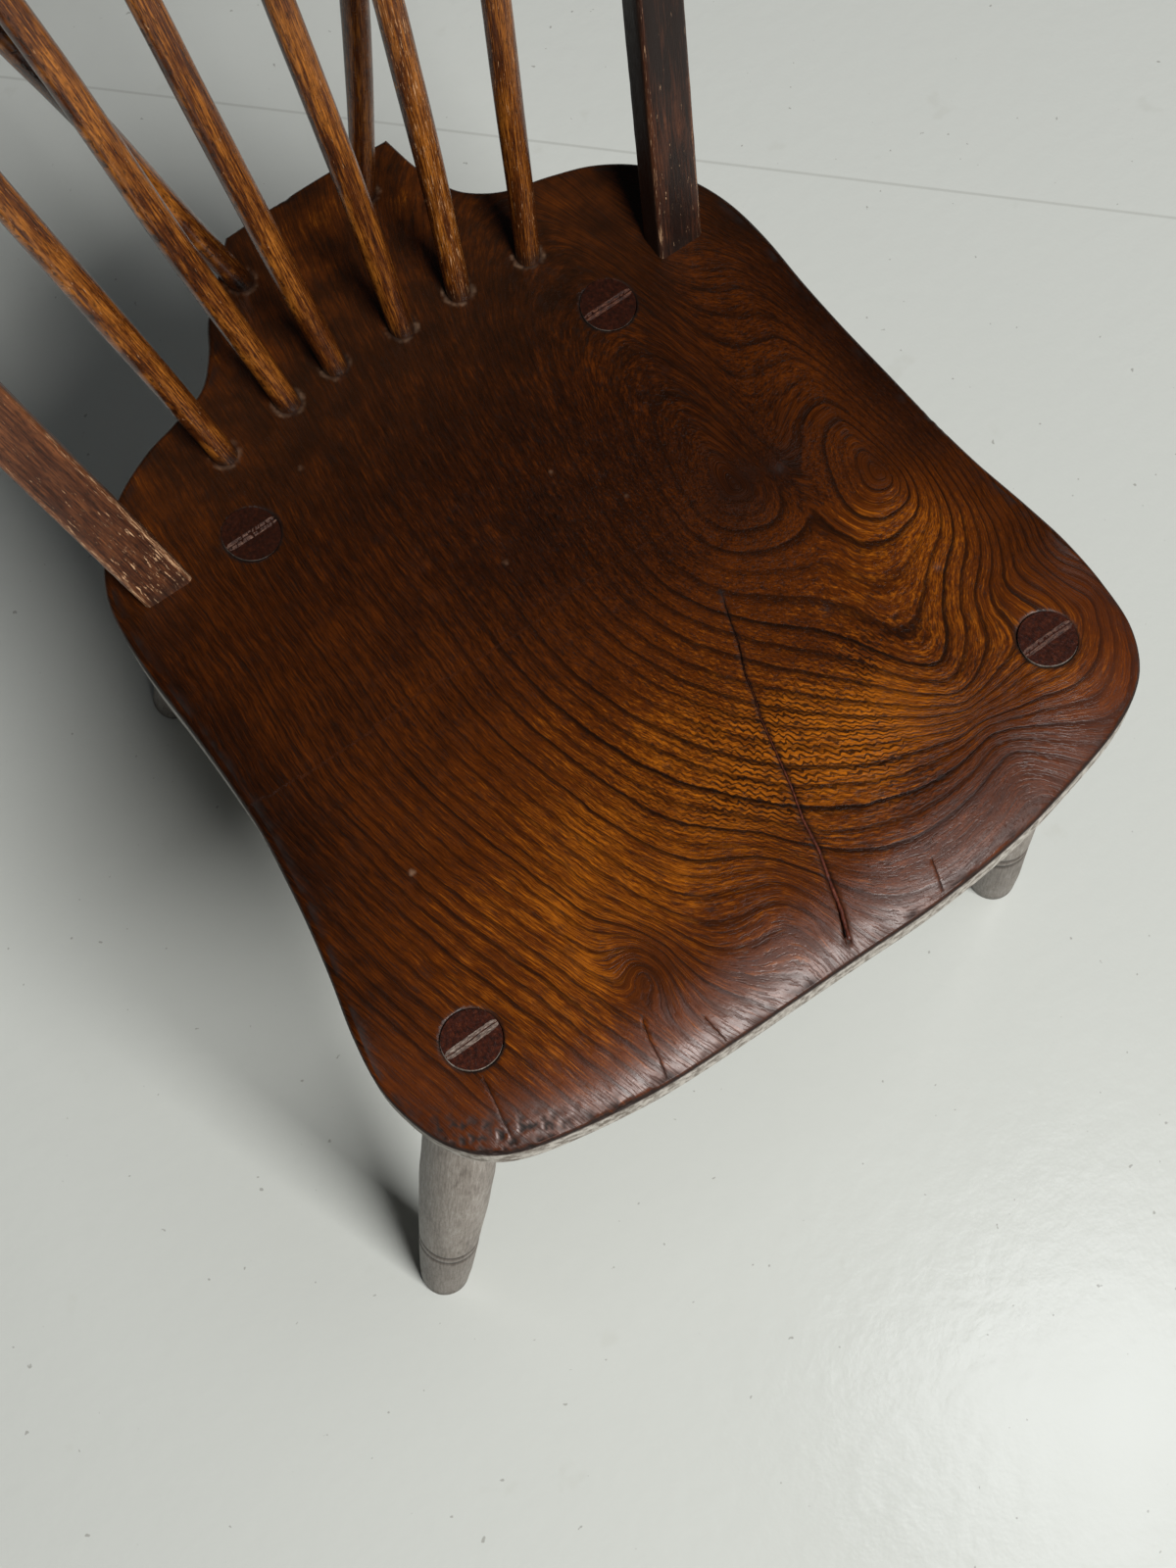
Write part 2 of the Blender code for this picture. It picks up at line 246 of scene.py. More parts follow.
def seatMaterial():
    look = seatLook
    s = Shader("seat_elm")
    ring = s.attribute("ring")
    along = s.attribute("along")
    tone = s.attribute("tone")
    figure = s.attribute("figure")
    grime_and_shade = s.attribute("grime_and_shade")
    rim = s.attribute("rim")
    here = s.place()
    atBack = s.grade(s.axes(here)["Y"], 0.02, 0.13)
    # Year rings: a sharp dark start that fades through each band, with rings of uneven strength.
    wander = s.noise(here, 300.0, 3.0, 0.6)
    phase = s.math("ADD", ring, s.math("MULTIPLY", s.math("SUBTRACT", wander, 0.5), 0.10))
    inBand = s.math("FRACT", phase)
    bandNumber = s.math("FLOOR", phase)
    uneven = s.add("ShaderNodeTexWhiteNoise", noise_dimensions="1D")
    s.put(uneven.inputs["W"], bandNumber)
    onset = s.grade(inBand, 0.0, 0.07)
    fade = s.grade(inBand, 0.10, 0.48, 1.0, 0.0)
    line = s.math("MULTIPLY", onset, fade)
    line = s.math("MULTIPLY", line, s.math("MULTIPLY_ADD", uneven.outputs["Value"], 0.6, 0.4))
    # Fibres and pores run along the rings.
    fibreSpace = s.vector(s.math("MULTIPLY", phase, 6.5), s.math("MULTIPLY", along, 0.06))
    fibre = s.noise(fibreSpace, 1.0, 3.0, 0.65)
    poreSpace = s.vector(s.math("MULTIPLY", phase, 11.0), s.math("MULTIPLY", along, 0.20))
    pore = s.grade(s.noise(poreSpace, 1.0, 2.0, 0.6), 0.53, 0.62)
    hairSpace = s.vector(s.math("MULTIPLY", phase, 17.0), s.math("MULTIPLY", along, 0.24), 3.0)
    hair = s.noise(hairSpace, 1.0, 3.0, 0.7)
    # Feathered figure: short wavy lines between the rings.
    wave = s.math("MULTIPLY", s.noise(here, 150.0, 2.0, 0.6), 11.0)
    wiggle = s.math("SINE", s.math("MULTIPLY_ADD", along, 1.4, wave))
    feather = s.math("MULTIPLY_ADD", wiggle, 1.3, s.math("MULTIPLY_ADD", phase, 21.0, wave))
    feather = s.math("SINE", feather)
    feather = s.math("MULTIPLY", s.grade(feather, -0.1, 0.7), figure)
    patch = s.noise(here, 30.0, 4.0, 0.6)
    level = s.math("ADD", tone, s.math("MULTIPLY", s.math("SUBTRACT", patch, 0.5), 0.34))
    cloud = s.noise(here, 62.0, 3.0, 0.55)
    cloud = s.math("MULTIPLY", s.math("SUBTRACT", cloud, 0.44), atBack)
    level = s.math("ADD", level, s.math("MULTIPLY", cloud, 0.9))
    level = s.math("ADD", level, s.math("MULTIPLY", s.math("SUBTRACT", fibre, 0.5), 0.75))
    level = s.math("ADD", level, s.math("MULTIPLY", s.math("SUBTRACT", hair, 0.5), 0.85))
    colour = s.ramp(level, [(0.0, look["darkest"]), (0.24, look["dark"]),
                            (0.56, look["middle"]), (1.0, look["golden"])])
    ringShare = s.math("MULTIPLY", line, s.grade(tone, 0.05, 0.5, 0.42, 0.97))
    ringShare = s.math("MULTIPLY", ringShare, s.math("MULTIPLY_ADD", atBack, -0.5, 1.0))
    colour = s.mix(ringShare, colour, look["ring"])
    colour = s.mix(s.math("MULTIPLY", feather, 0.85), colour, look["ring"])
    colour = s.mix(s.math("MULTIPLY", pore, 0.48), colour, look["ring"])
    colour = s.mix(s.math("MULTIPLY", rim, 0.20), colour, rgb(108, 52, 27))
    colour = s.mix(s.math("MULTIPLY", atBack, 0.30), colour, rgb(56, 33, 18))
    colour = s.mix(grime_and_shade, colour, rgb(20, 13, 10))
    pale = s.attribute("pale")
    colour = s.mix(pale, colour, rgb(150, 120, 96))
    bare = s.attribute("bare")
    sawn = s.noise(s.stretch(here, (1.0, 0.10, 1.0)), 240.0, 4.0, 0.65)
    grey = s.mix(s.grade(sawn, 0.36, 0.62), rgb(112, 103, 93), rgb(184, 178, 169))
    colour = s.mix(bare, colour, grey)
    rough = s.math("ADD", s.math("MULTIPLY", s.noise(here, 90.0, 4.0, 0.65), 0.20),
                   look["gloss"] - 0.10)
    rough = s.math("ADD", rough, s.math("MULTIPLY", grime_and_shade, 0.35))
    rough = s.math("ADD", rough, s.math("MULTIPLY", bare, 0.30))
    rough = s.math("ADD", rough, s.math("MULTIPLY", pore, 0.10))
    rough = s.math("ADD", rough, s.math("MULTIPLY", rim, 0.10))
    height = s.math("MULTIPLY", line, -0.35)
    height = s.math("ADD", height, s.math("MULTIPLY", pore, -0.4))
    height = s.math("ADD", height, s.math("MULTIPLY", fibre, 0.35))
    height = s.math("ADD", height, s.math("MULTIPLY", s.noise(here, 900.0, 3.0, 0.6), 0.3))
    s.set(Base_Color=colour, Roughness=rough, Specular_IOR_Level=0.30,
          Normal=s.bump(height, 0.30, 0.0006))
    return s.mat


# Long-grained wood for turned or bent bars: the along attribute runs down the piece in mm
# and the turn attribute goes round it.
def barWoodMaterial(name, look):
    s = Shader(name)
    along = s.attribute("along")
    turn = s.attribute("turn")
    worn = s.attribute("worn")
    here = s.place()
    slow = s.noise(s.vector(s.math("MULTIPLY", turn, 2.2), s.math("MULTIPLY", along, 0.012)),
                   1.0, 3.0, 0.6, 0.3)
    fibre = s.noise(s.vector(s.math("MULTIPLY", turn, 16.0), s.math("MULTIPLY", along, 0.05)),
                    1.0, 3.0, 0.65)
    pore = s.noise(s.vector(s.math("MULTIPLY", turn, 34.0), s.math("MULTIPLY", along, 0.20)),
                   1.0, 2.0, 0.6)
    level = s.math("ADD", s.math("MULTIPLY", slow, 0.8), s.math("MULTIPLY", fibre, 1.15))
    level = s.math("SUBTRACT", level, 0.475)
    level = s.math("ADD", level, s.math("SUBTRACT", worn, 0.5))
    colour = s.ramp(level, [(0.20, look["dark"]), (0.5, look["middle"]), (0.85, look["light"])])
    colour = s.mix(s.math("MULTIPLY", s.grade(pore, 0.52, 0.64), look["pores"]), colour,
                   look["dark"])
    flakeNoise = s.noise(s.vector(s.math("MULTIPLY", turn, 14.0),
                                  s.math("MULTIPLY", along, 0.095)), 1.0, 5.0, 0.72)
    flake = s.grade(s.math("ADD", flakeNoise, s.math("MULTIPLY", s.attribute("flake"), 0.25)),
                    0.68, 0.73)
    colour = s.mix(flake, colour, look["bare"])
    grime_and_shade = s.attribute("grime_and_shade")
    colour = s.mix(grime_and_shade, colour, rgb(24, 16, 12))
    rough = s.math("ADD", s.math("MULTIPLY", s.noise(here, 220.0, 3.0, 0.6), 0.24),
                   look["gloss"] - 0.12)
    rough = s.math("ADD", rough, s.math("MULTIPLY", flake, 0.28))
    height = s.math("ADD", s.math("MULTIPLY", fibre, 0.6), s.math("MULTIPLY", flake, -0.8))
    height = s.math("ADD", height, s.math("MULTIPLY", s.grade(pore, 0.55, 0.70), -0.4))
    s.set(Base_Color=colour, Roughness=rough, Specular_IOR_Level=0.45,
          Normal=s.bump(height, 0.35, 0.0005))
    return s.mat


stickLook = {"dark": rgb(20, 8, 3), "middle": rgb(78, 38, 11), "light": rgb(170, 104, 36),
             "bare": rgb(190, 142, 98), "pores": 0.7, "gloss": 0.24}
bowLook = {"dark": rgb(24, 11, 6), "middle": rgb(64, 34, 19), "light": rgb(110, 66, 38),
           "bare": rgb(196, 156, 118), "pores": 0.6, "gloss": 0.40}
legLook = {"dark": rgb(92, 80, 70), "middle": rgb(134, 124, 114), "light": rgb(164, 156, 148),
           "bare": rgb(120, 96, 74), "pores": 0.4, "gloss": 0.50}


# The seat board.

seatSize = {
    "top": 440.0,
    "thick": 34.0,
    "edge": 18.0,        # height of the upright edge face
    "underCut": 15.0,    # how far the chamfer below it goes in
    "frontRoll": 8.0,
    "backRoll": 3.5,
    "dishDepth": 5.0,
    "dishCentre": (4.0, -120.0),
    "dishReach": 150.0,
    "frontFall": 7.5,
    "fallReach": 38.0,
    "fallPower": 2.6,
    "outlineStep": 1.6,
    "grid": 1.45,        # spacing of the top's mesh
}
tailRight = (69, 155)
tailLeft = (-23, 156)
seatEdge = [
    (181, -267), (189, -250), (191, -230), (190, -208), (187, -180), (183, -150), (181, -120),
    (180, -90), (179, -60), (179, -30), (180, 0), (178, 26), (171, 48), (158, 68), (140, 82),
    (120, 90), (99, 96), (86, 104), (78, 114), (72, 133), tailRight, (36, 157), (5, 157), tailLeft,
    (-37, 141), (-54, 123), (-64, 107), (-77, 93), (-96, 86), (-116, 80), (-138, 68), (-156, 50),
    (-167, 30), (-171, 8), (-172, -18), (-171, -50), (-171, -80), (-172, -106), (-175, -130),
    (-179, -155), (-184, -179), (-190, -204), (-193, -226), (-191, -244), (-185, -262),
    (-174, -276), (-158, -285), (-130, -292), (-98, -297), (-64, -299), (-30, -300), (4, -301),
    (35, -302), (66, -301), (96, -298), (127, -292), (151, -286), (169, -278)]

# Each leg: where its middle meets the seat's top, and where it stands on the floor.
legs = {
    "leg_front_left": ((-151, -236), (-212, -221)),
    "leg_front_right": ((152, -238), (195, -222)),
    "leg_rear_left": ((-98, 15), (-146, 184)),
    "leg_rear_right": ((99, 14), (148, 184))}
tenonRadius = 12.9

# Wear in the seat, with a few painted glints among the pale specks. Each mark has its place,
# its reach and its depth or strength, in mm.
seatWear = {
    "chips": [((-172, -277), 20, 1.5), ((-120, -294), 9, 1.7), ((-104, -296), 7, 1.3),
              ((176, -124), 7, 1.4), ((-178, -155), 4, 0.8), ((60, -301), 5, 0.8),
              ((168, -279), 14, 0.7), ((10, 157), 4, 0.8)],
    "pinKnots": [((135, -184), 2.2, 0.6), ((85, -170), 3.0, 0.35), ((111, -103), 3.2, 0.4),
                 ((100, -30), 2.0, 0.3)],
    "specks": [((-130, -161), 0.9, 0.95), ((-14, -64), 0.7, 0.40), ((28, -40), 0.7, 0.35),
               ((48, -70), 0.6, 0.30), ((-62, 30), 0.7, 0.35)],
    "dents": 70,
    "dentSeed": 11,
}

# Each crack: its line on the seat, its greatest width and its depth, in mm.
cracks = {
    "long": ([(54, -133), (49, -146), (45, -158), (39, -170), (35, -183), (31, -193), (28, -204),
              (25, -215), (22, -226), (17, -240), (14, -255), (9, -269), (5, -282), (0, -294)],
             2.6, 1.5),
    "left": ([(-156, -251), (-158, -262), (-160, -272), (-161, -281)], 0.5, 0.4),
    "frontA": ([(-89, -270), (-92, -279), (-93, -287), (-95, -295)], 0.45, 0.35),
    "frontB": ([(-68, -284), (-67, -290), (-66, -297)], 0.35, 0.3),
    "frontC": ([(50, -286), (48, -293), (46, -299)], 0.4, 0.3)}


def dish(x, y):
    s = seatSize
    cx, cy = s["dishCentre"]
    reach = np.clip(np.hypot(x - cx, y - cy) / s["dishReach"], 0, 1)
    return s["dishDepth"] * (0.5 + 0.5 * np.cos(np.pi * reach))


def roll(y):
    s = seatSize
    share = np.clip((-200 - y) / 90, 0, 1)
    return s["backRoll"] + (s["frontRoll"] - s["backRoll"]) * share


def frontShare(y):
    return smoothstep(-196, -250, y)


def topAt(x, y):
    return seatSize["top"] - float(dish(x, y))


ringLook = {
    "knotLeft": (92, -95),
    "knotRight": (146, -128),
    "fan": (106, -245),
    "burr": (-74, -252),
    "oval": (-14, -269),
}


# Distance from a knot with squared-off corners: rings run straight down the board beside it
# and turn across in front of it.
def squareDistance(x, y, centre, sideStretch, backStretch, power):
    dx = np.where(x < centre[0], centre[0] - x, (x - centre[0]) * sideStretch)
    dy = np.where(y < centre[1], 230 * np.log1p(np.maximum(centre[1] - y, 0) / 230),
                  (y - centre[1]) * backStretch)
    return (dx ** power + dy ** power) ** (1 / power)


# Growth ring number at each place of the seat, and a coordinate that runs along the rings.
def ringField(x, y):
    r = ringLook
    wx = x + 4.0 * ripple(x, y, 75, 1.3) + 0.7 * ripple(x, y, 16, 4.1, 2)
    wy = y + 5.0 * ripple(x, y, 65, 7.7) + 0.7 * ripple(x, y, 14, 9.2, 2)
    nearLeft = squareDistance(wx, wy, r["knotLeft"], 1.5, 0.33, 2.1)
    nearRight = squareDistance(wx, wy, r["knotRight"], 2.1, 0.42, 2.1) + 2.0
    soft = 7.0
    field = -soft * np.log(np.exp(-nearLeft / soft) + np.exp(-nearRight / soft))
    fx, fy = r["fan"]
    away = np.hypot(x - fx, y - fy)
    swing = np.arctan2(fy - wy, np.hypot(wx - fx, 12.0))
    field = field + 30.0 * swing / (1 + (away / 75) ** 2.4)
    for name, lift, width in (("burr", 15.0, 12.0), ("oval", 16.0, 22.0)):
        bx, by = r[name]
        field = field + lift * np.exp(-((wx - bx) ** 2 + (0.6 * (wy - by)) ** 2) / width ** 2)
    # Rings are tight round the knots, widest in front of them and even on the left.
    tight = 8.6 - 2.9 * np.exp(-field / 26) - 1.0 * smoothstep(120, 240, field)
    tight = tight * (1 - 0.30 * smoothstep(100, 150, x) * smoothstep(-240, -200, y))
    rings = field / tight + 0.55 * ripple(field, 0 * field, 30, 3.3, 2)
    angle = np.arctan2(wy - r["knotLeft"][1], wx - r["knotLeft"][0] - 12)
    along = np.where(field > 0, angle * 130.0, 0.0)
    return rings, along


# Soft stains: centre, reach in x and y, and how much lighter or darker they make the wood.
stains = [
    ((-10, -205), (120, 75), 0.26), ((62, -225), (60, 36), 0.33), ((-50, -160), (80, 80), 0.08),
    ((-115, -240), (75, 62), 0.20), ((35, -160), (50, 50), 0.08), ((135, -165), (40, 28), 0.22),
    ((60, -180), (40, 25), -0.06), ((-80, 30), (90, 50), -0.10), ((60, 50), (130, 50), -0.16),
    ((-140, 40), (40, 40), 0.10), ((92, -95), (17, 13), -0.14), ((146, -128), (19, 13), -0.16),
    ((111, -103), (9, 22), -0.14), ((-74, -252), (14, 16), -0.16), ((152, -243), (30, 26), 0.26),
    ((140, -140), (45, 40), 0.13), ((158, -268), (30, 12), 0.06), ((-30, -290), (140, 20), 0.06),
    ((150, -205), (30, 30), 0.10), ((-166, -80), (14, 120), -0.16),
    ((176, -60), (14, 110), -0.22), ((20, -60), (75, 65), -0.11), ((150, -40), (30, 50), 0.08),
    ((30, 120), (80, 40), 0.06)]


def toneAt(x, y):
    tone = np.full(len(x), 0.29)
    for (cx, cy), (rx, ry), amount in stains:
        tone += amount * np.exp(-((x - cx) / rx) ** 2 - ((y - cy) / ry) ** 2)
    return np.clip(tone, 0.02, 1.0)


# Distance of many points to a polyline and how far along it they are, 0 to 1.
def lineDistance(x, y, line):
    best = np.full(len(x), 1e9)
    share = np.zeros(len(x))
    for i in range(len(line) - 1):
        ax, ay = line[i]
        bx, by = line[i + 1]
        long2 = (bx - ax) ** 2 + (by - ay) ** 2
        t = np.clip(((x - ax) * (bx - ax) + (y - ay) * (by - ay)) / long2, 0, 1)
        d = np.hypot(x - ax - t * (bx - ax), y - ay - t * (by - ay))
        nearer = d < best
        best[nearer] = d[nearer]
        share[nearer] = ((i + t) / (len(line) - 1))[nearer]
    return best, share


# The same line with points every step mm and a small ragged waver.
def fineLine(line, step, waver, seed):
    rng = random.Random(seed)
    out = []
    for (ax, ay), (bx, by) in zip(line[:-1], line[1:]):
        parts = max(1, round(math.hypot(bx - ax, by - ay) / step))
        for j in range(parts):
            t = j / parts
            out.append((ax + (bx - ax) * t + rng.uniform(-waver, waver),
                        ay + (by - ay) * t + rng.uniform(-waver, waver)))
    out.append(line[-1])
    return out


# Half the width of a crack at a share of its length; it opens from a point.
def crackHalf(width, share):
    return width / 2 * (0.12 + 0.88 * np.minimum(1.0, share * 1.15) ** 1.4)


# Shoulder, side and middle lines of a crack.
def crackSides(line, width):
    sides = ([], [], [], [], [])
    last = len(line) - 1
    for i, (x, y) in enumerate(line):
        ax, ay = line[max(i - 1, 0)]
        bx, by = line[min(i + 1, last)]
        long = math.hypot(bx - ax, by - ay) or 1.0
        nx, ny = -(by - ay) / long, (bx - ax) / long
        half = crackHalf(width, i / last)
        for side, reach in zip(sides, (-half - 0.3, -half, 0.0, half, half + 0.3)):
            side.append((x + nx * reach, y + ny * reach))
    return sides


# Rows of points from the underside up over the edge face and the rolled rim, with their heights.
def seatRows(edge):
    s = seatSize
    x, y = edge[:, 0], edge[:, 1]
    count = len(edge)
    along = np.roll(edge, -1, axis=0) - np.roll(edge, 1, axis=0)
    along /= np.linalg.norm(along, axis=1)[:, None]
    inward = np.stack([-along[:, 1], along[:, 0]], axis=1)
    share = frontShare(y)
    radius = s["backRoll"] - 1.0 * share
    slope = s["fallPower"] * s["frontFall"] / s["fallReach"]
    lastTurn = np.pi / 2 - np.arctan(slope * share)
    faceTop = s["top"] - s["frontFall"] * share - radius * np.sin(lastTurn)
    wobble = ripple(x, y, 26, 3.3, 2)
    ragged = ripple(x, y, 3.5, 6.1, 3)
    bite = np.zeros(count)
    for place, reach, depth in seatWear["chips"]:
        bite += nearTo(x, y, place, reach) * depth * np.clip(0.35 + 1.1 * ragged, 0, 1.4)
    radius = radius * (1 + 0.13 * wobble)
    bottomZ = s["top"] - s["thick"]
    edgeZ = s["top"] - s["edge"] - roll(y)
    edgeTree = pointTree(edge)
    rows = []
    heights = []

    # A deep inset folds over itself in the corners; there the row runs straight instead.
    def ring(inset, z):
        row = edge + inward * np.asarray(inset).reshape(-1, 1)
        if np.ndim(inset) == 0 and inset > s["underCut"] / 3:
            reach = distanceTo(edgeTree, row[:, 0], row[:, 1])
            good = np.flatnonzero(reach > 0.985 * inset)
            row = np.stack([np.interp(np.arange(count), good, row[good, axis], period=count)
                            for axis in (0, 1)], axis=1)
        rows.append(row)
        heights.append(np.broadcast_to(np.asarray(z, float), (count,)))

    ring(s["underCut"], bottomZ)
    ring(s["underCut"] * 0.5, bottomZ + (edgeZ - bottomZ) * 0.55)
    ring(1.2, edgeZ - 0.6)
    ring(0.2, edgeZ + 0.7)
    for up in (0.15, 0.4, 0.65, 0.85):
        ring(0.12 * wobble, edgeZ + (faceTop - edgeZ) * up)
    rollSteps = 9
    for k in range(rollSteps + 1):
        turn = lastTurn * k / rollSteps
        nip = math.sin(math.pi * k / rollSteps) ** 0.8 if 0 < k < rollSteps else 0.0
        inset = radius * (1 - np.cos(turn)) + bite * nip * 0.8
        ring(inset, faceTop + radius * np.sin(turn) - bite * nip)
    return rows, heights, faceTop, bite


# Inside the rim and outside the leg holes.
def onBoard(x, y, inner, holes):
    inside = insideLoop(x, y, inner)
    for hole in holes:
        inside &= ~insideLoop(x, y, hole)
    return inside


# The top is a fine flat mesh that keeps the rim, the holes and the crack sides as its own edges.
def seatTopMesh(edge, inner, holes, crackLines):
    points = []
    edges = []
    for loop in [inner] + holes:
        first = len(points)
        points += [tuple(p) for p in loop]
        edges += [(first + k, first + (k + 1) % len(loop)) for k in range(len(loop))]
    for line, width, _ in crackLines:
        for side in crackSides(line, width):
            first = len(points)
            points += side
            edges += [(first + k, first + k + 1) for k in range(len(side) - 1)]
    tree = pointTree(points)
    step = seatSize["grid"]
    gridX = []
    gridY = []
    y = edge[:, 1].min()
    odd = 0
    while y < edge[:, 1].max():
        gridX.append(np.arange(edge[:, 0].min(), edge[:, 0].max(), step) + odd * step / 2)
        gridY.append(np.full(len(gridX[-1]), y))
        y += step * 0.866
        odd = 1 - odd
    x, y = np.concatenate(gridX), np.concatenate(gridY)
    keep = onBoard(x, y, inner, holes)
    x, y = x[keep], y[keep]
    clear = distanceTo(tree, x, y) > 0.62 * step
    points += list(zip(x[clear].tolist(), y[clear].tolist()))
    out = delaunay_2d_cdt([Vector(p) for p in points], edges, [], 0, 1e-4)
    flat = np.array([(v.x, v.y) for v in out[0]])
    tris = np.array([f for f in out[2] if len(f) == 3])
    middle = flat[tris].mean(axis=1)
    tris = tris[onBoard(middle[:, 0], middle[:, 1], inner, holes)]
    a, b, c = (flat[tris[:, i]] for i in range(3))
    facing = (b[:, 0] - a[:, 0]) * (c[:, 1] - a[:, 1]) - (b[:, 1] - a[:, 1]) * (c[:, 0] - a[:, 0])
    tris[facing < 0] = tris[facing < 0][:, ::-1]
    print("seat top", len(flat), "points", len(tris), "triangles")
    return flat, tris


# Height, dirt and painted shade, and pale dust and painted glints of the top: the dish, the fall to
# the front and the grain's own relief, then the marks of the joints and of long use.
def seatTopShape(x, y, toRim, rings, crackLines):
    s = seatSize
    z = s["top"] - dish(x, y)
    fall = np.clip(1 - toRim / s["fallReach"], 0, 1) ** s["fallPower"]
    z -= s["frontFall"] * frontShare(y) * fall
    inland = smoothstep(0.0, 12.0, toRim)
    z += inland * (0.35 * ripple(x, y, 60, 2.2) + 0.035 * ripple(x, y, 14, 5.0, 2))
    z -= inland * 0.10 * (0.5 + 0.5 * np.cos(2 * np.pi * rings))
    grime_and_shade = np.zeros(len(x))
    pale = np.zeros(len(x))
    # Each crack sinks in and is painted dark along its line: dirt in the crack and painted shade
    # for its narrow gap.
    for line, width, depth in crackLines:
        d, share = lineDistance(x, y, line)
        half = crackHalf(width, share)
        z -= depth * np.clip(1 - d / (half + 0.02), 0, 1) ** 0.5 * smoothstep(0, 0.06, share)
        soft = half + (0.45 if width > 1 else 0.08)
        grime_and_shade = np.maximum(grime_and_shade, 0.85 * np.exp(-(d / soft) ** 2))
    for (hx, hy), _ in legs.values():
        d = np.abs(np.hypot(x - hx, y - hy) - tenonRadius - 0.4)
        grime_and_shade = np.maximum(grime_and_shade, 0.9 * np.exp(-(d / 0.9) ** 2))
        z -= 0.25 * np.exp(-(d / 1.2) ** 2)
    # Round each stick and brace the seat sinks a little, with a dark joint line and painted contact
    # shade, and beside it a broken pale ring that is partly dust and partly painted reflection.
    for bx, by in [base for base, _ in sticks + list(braces.values())]:
        d = np.hypot(x - bx, y - by)
        grime_and_shade = np.maximum(grime_and_shade, 0.6 * np.exp(-((d - 6.0) / 1.2) ** 2))
        arc = np.clip(0.2 + ripple(x, y, 4, bx, 2), 0, 1)
        pale = np.maximum(pale, 0.5 * arc * np.exp(-((d - 7.2) / 0.8) ** 2))
        z -= 0.3 * np.exp(-((d - 6.5) / 1.4) ** 2)
    rng = random.Random(seatWear["dentSeed"])
    for _ in range(seatWear["dents"]):
        place = rng.uniform(-160, 165), rng.uniform(-280, 60)
        reach = rng.uniform(0.8, 3.0)
        z -= rng.uniform(0.05, 0.28) * nearTo(x, y, place, reach)
    for place, reach, depth in seatWear["pinKnots"]:
        z -= depth * nearTo(x, y, place, reach)
        grime_and_shade = np.maximum(grime_and_shade, 0.3 * nearTo(x, y, place, reach))
    # The largest speck is a white fleck on the wood; the small ones are painted glints.
    for place, reach, strength in seatWear["specks"]:
        pale = np.maximum(pale, strength * nearTo(x, y, place, reach))
    # The front left corner is pitted, the front edge beside it is chipped, and a thin dark band
    # runs along the rim.
    corner = np.exp(-((x + 170) / 26) ** 2 - ((y + 276) / 20) ** 2 - (toRim / 9) ** 2)
    pits = np.clip(ripple(x, y, 3.0, 8.8, 3) * 3.2, 0, 1) * np.clip(corner * 1.5, 0, 1)
    z -= 0.8 * pits
    grime_and_shade = np.maximum(grime_and_shade, 0.96 * np.clip(pits * 2.6, 0, 1))
    rimBand = np.clip(0.2 + 0.3 * (x < -150) + 1.4 * ripple(x, y, 9, 12.0, 2), 0, 1)
    grime_and_shade = np.maximum(grime_and_shade, 0.8 * np.exp(-(toRim / 2.5) ** 2) * rimBand)
    chipped = np.exp(-((x + 125) / 45) ** 2 - ((y + 290) / 14) ** 2 - (toRim / 3.5) ** 2)
    grime_and_shade = np.maximum(grime_and_shade, chipped * np.clip(0.3 + 2.2 * ripple(x, y, 5, 15.0, 3), 0, 1))
    return z, grime_and_shade, pale


# Where the wood shows its feathered figure.
def figureAt(x, y):
    figure = (np.exp(-((x - 55) / 75) ** 2 - ((y + 222) / 52) ** 2)
              + 0.5 * np.exp(-((x + 10) / 60) ** 2 - ((y + 190) / 50) ** 2))
    return np.clip(figure * (0.9 + 0.8 * ripple(x, y, 25, 2.9, 2)), 0, 1)


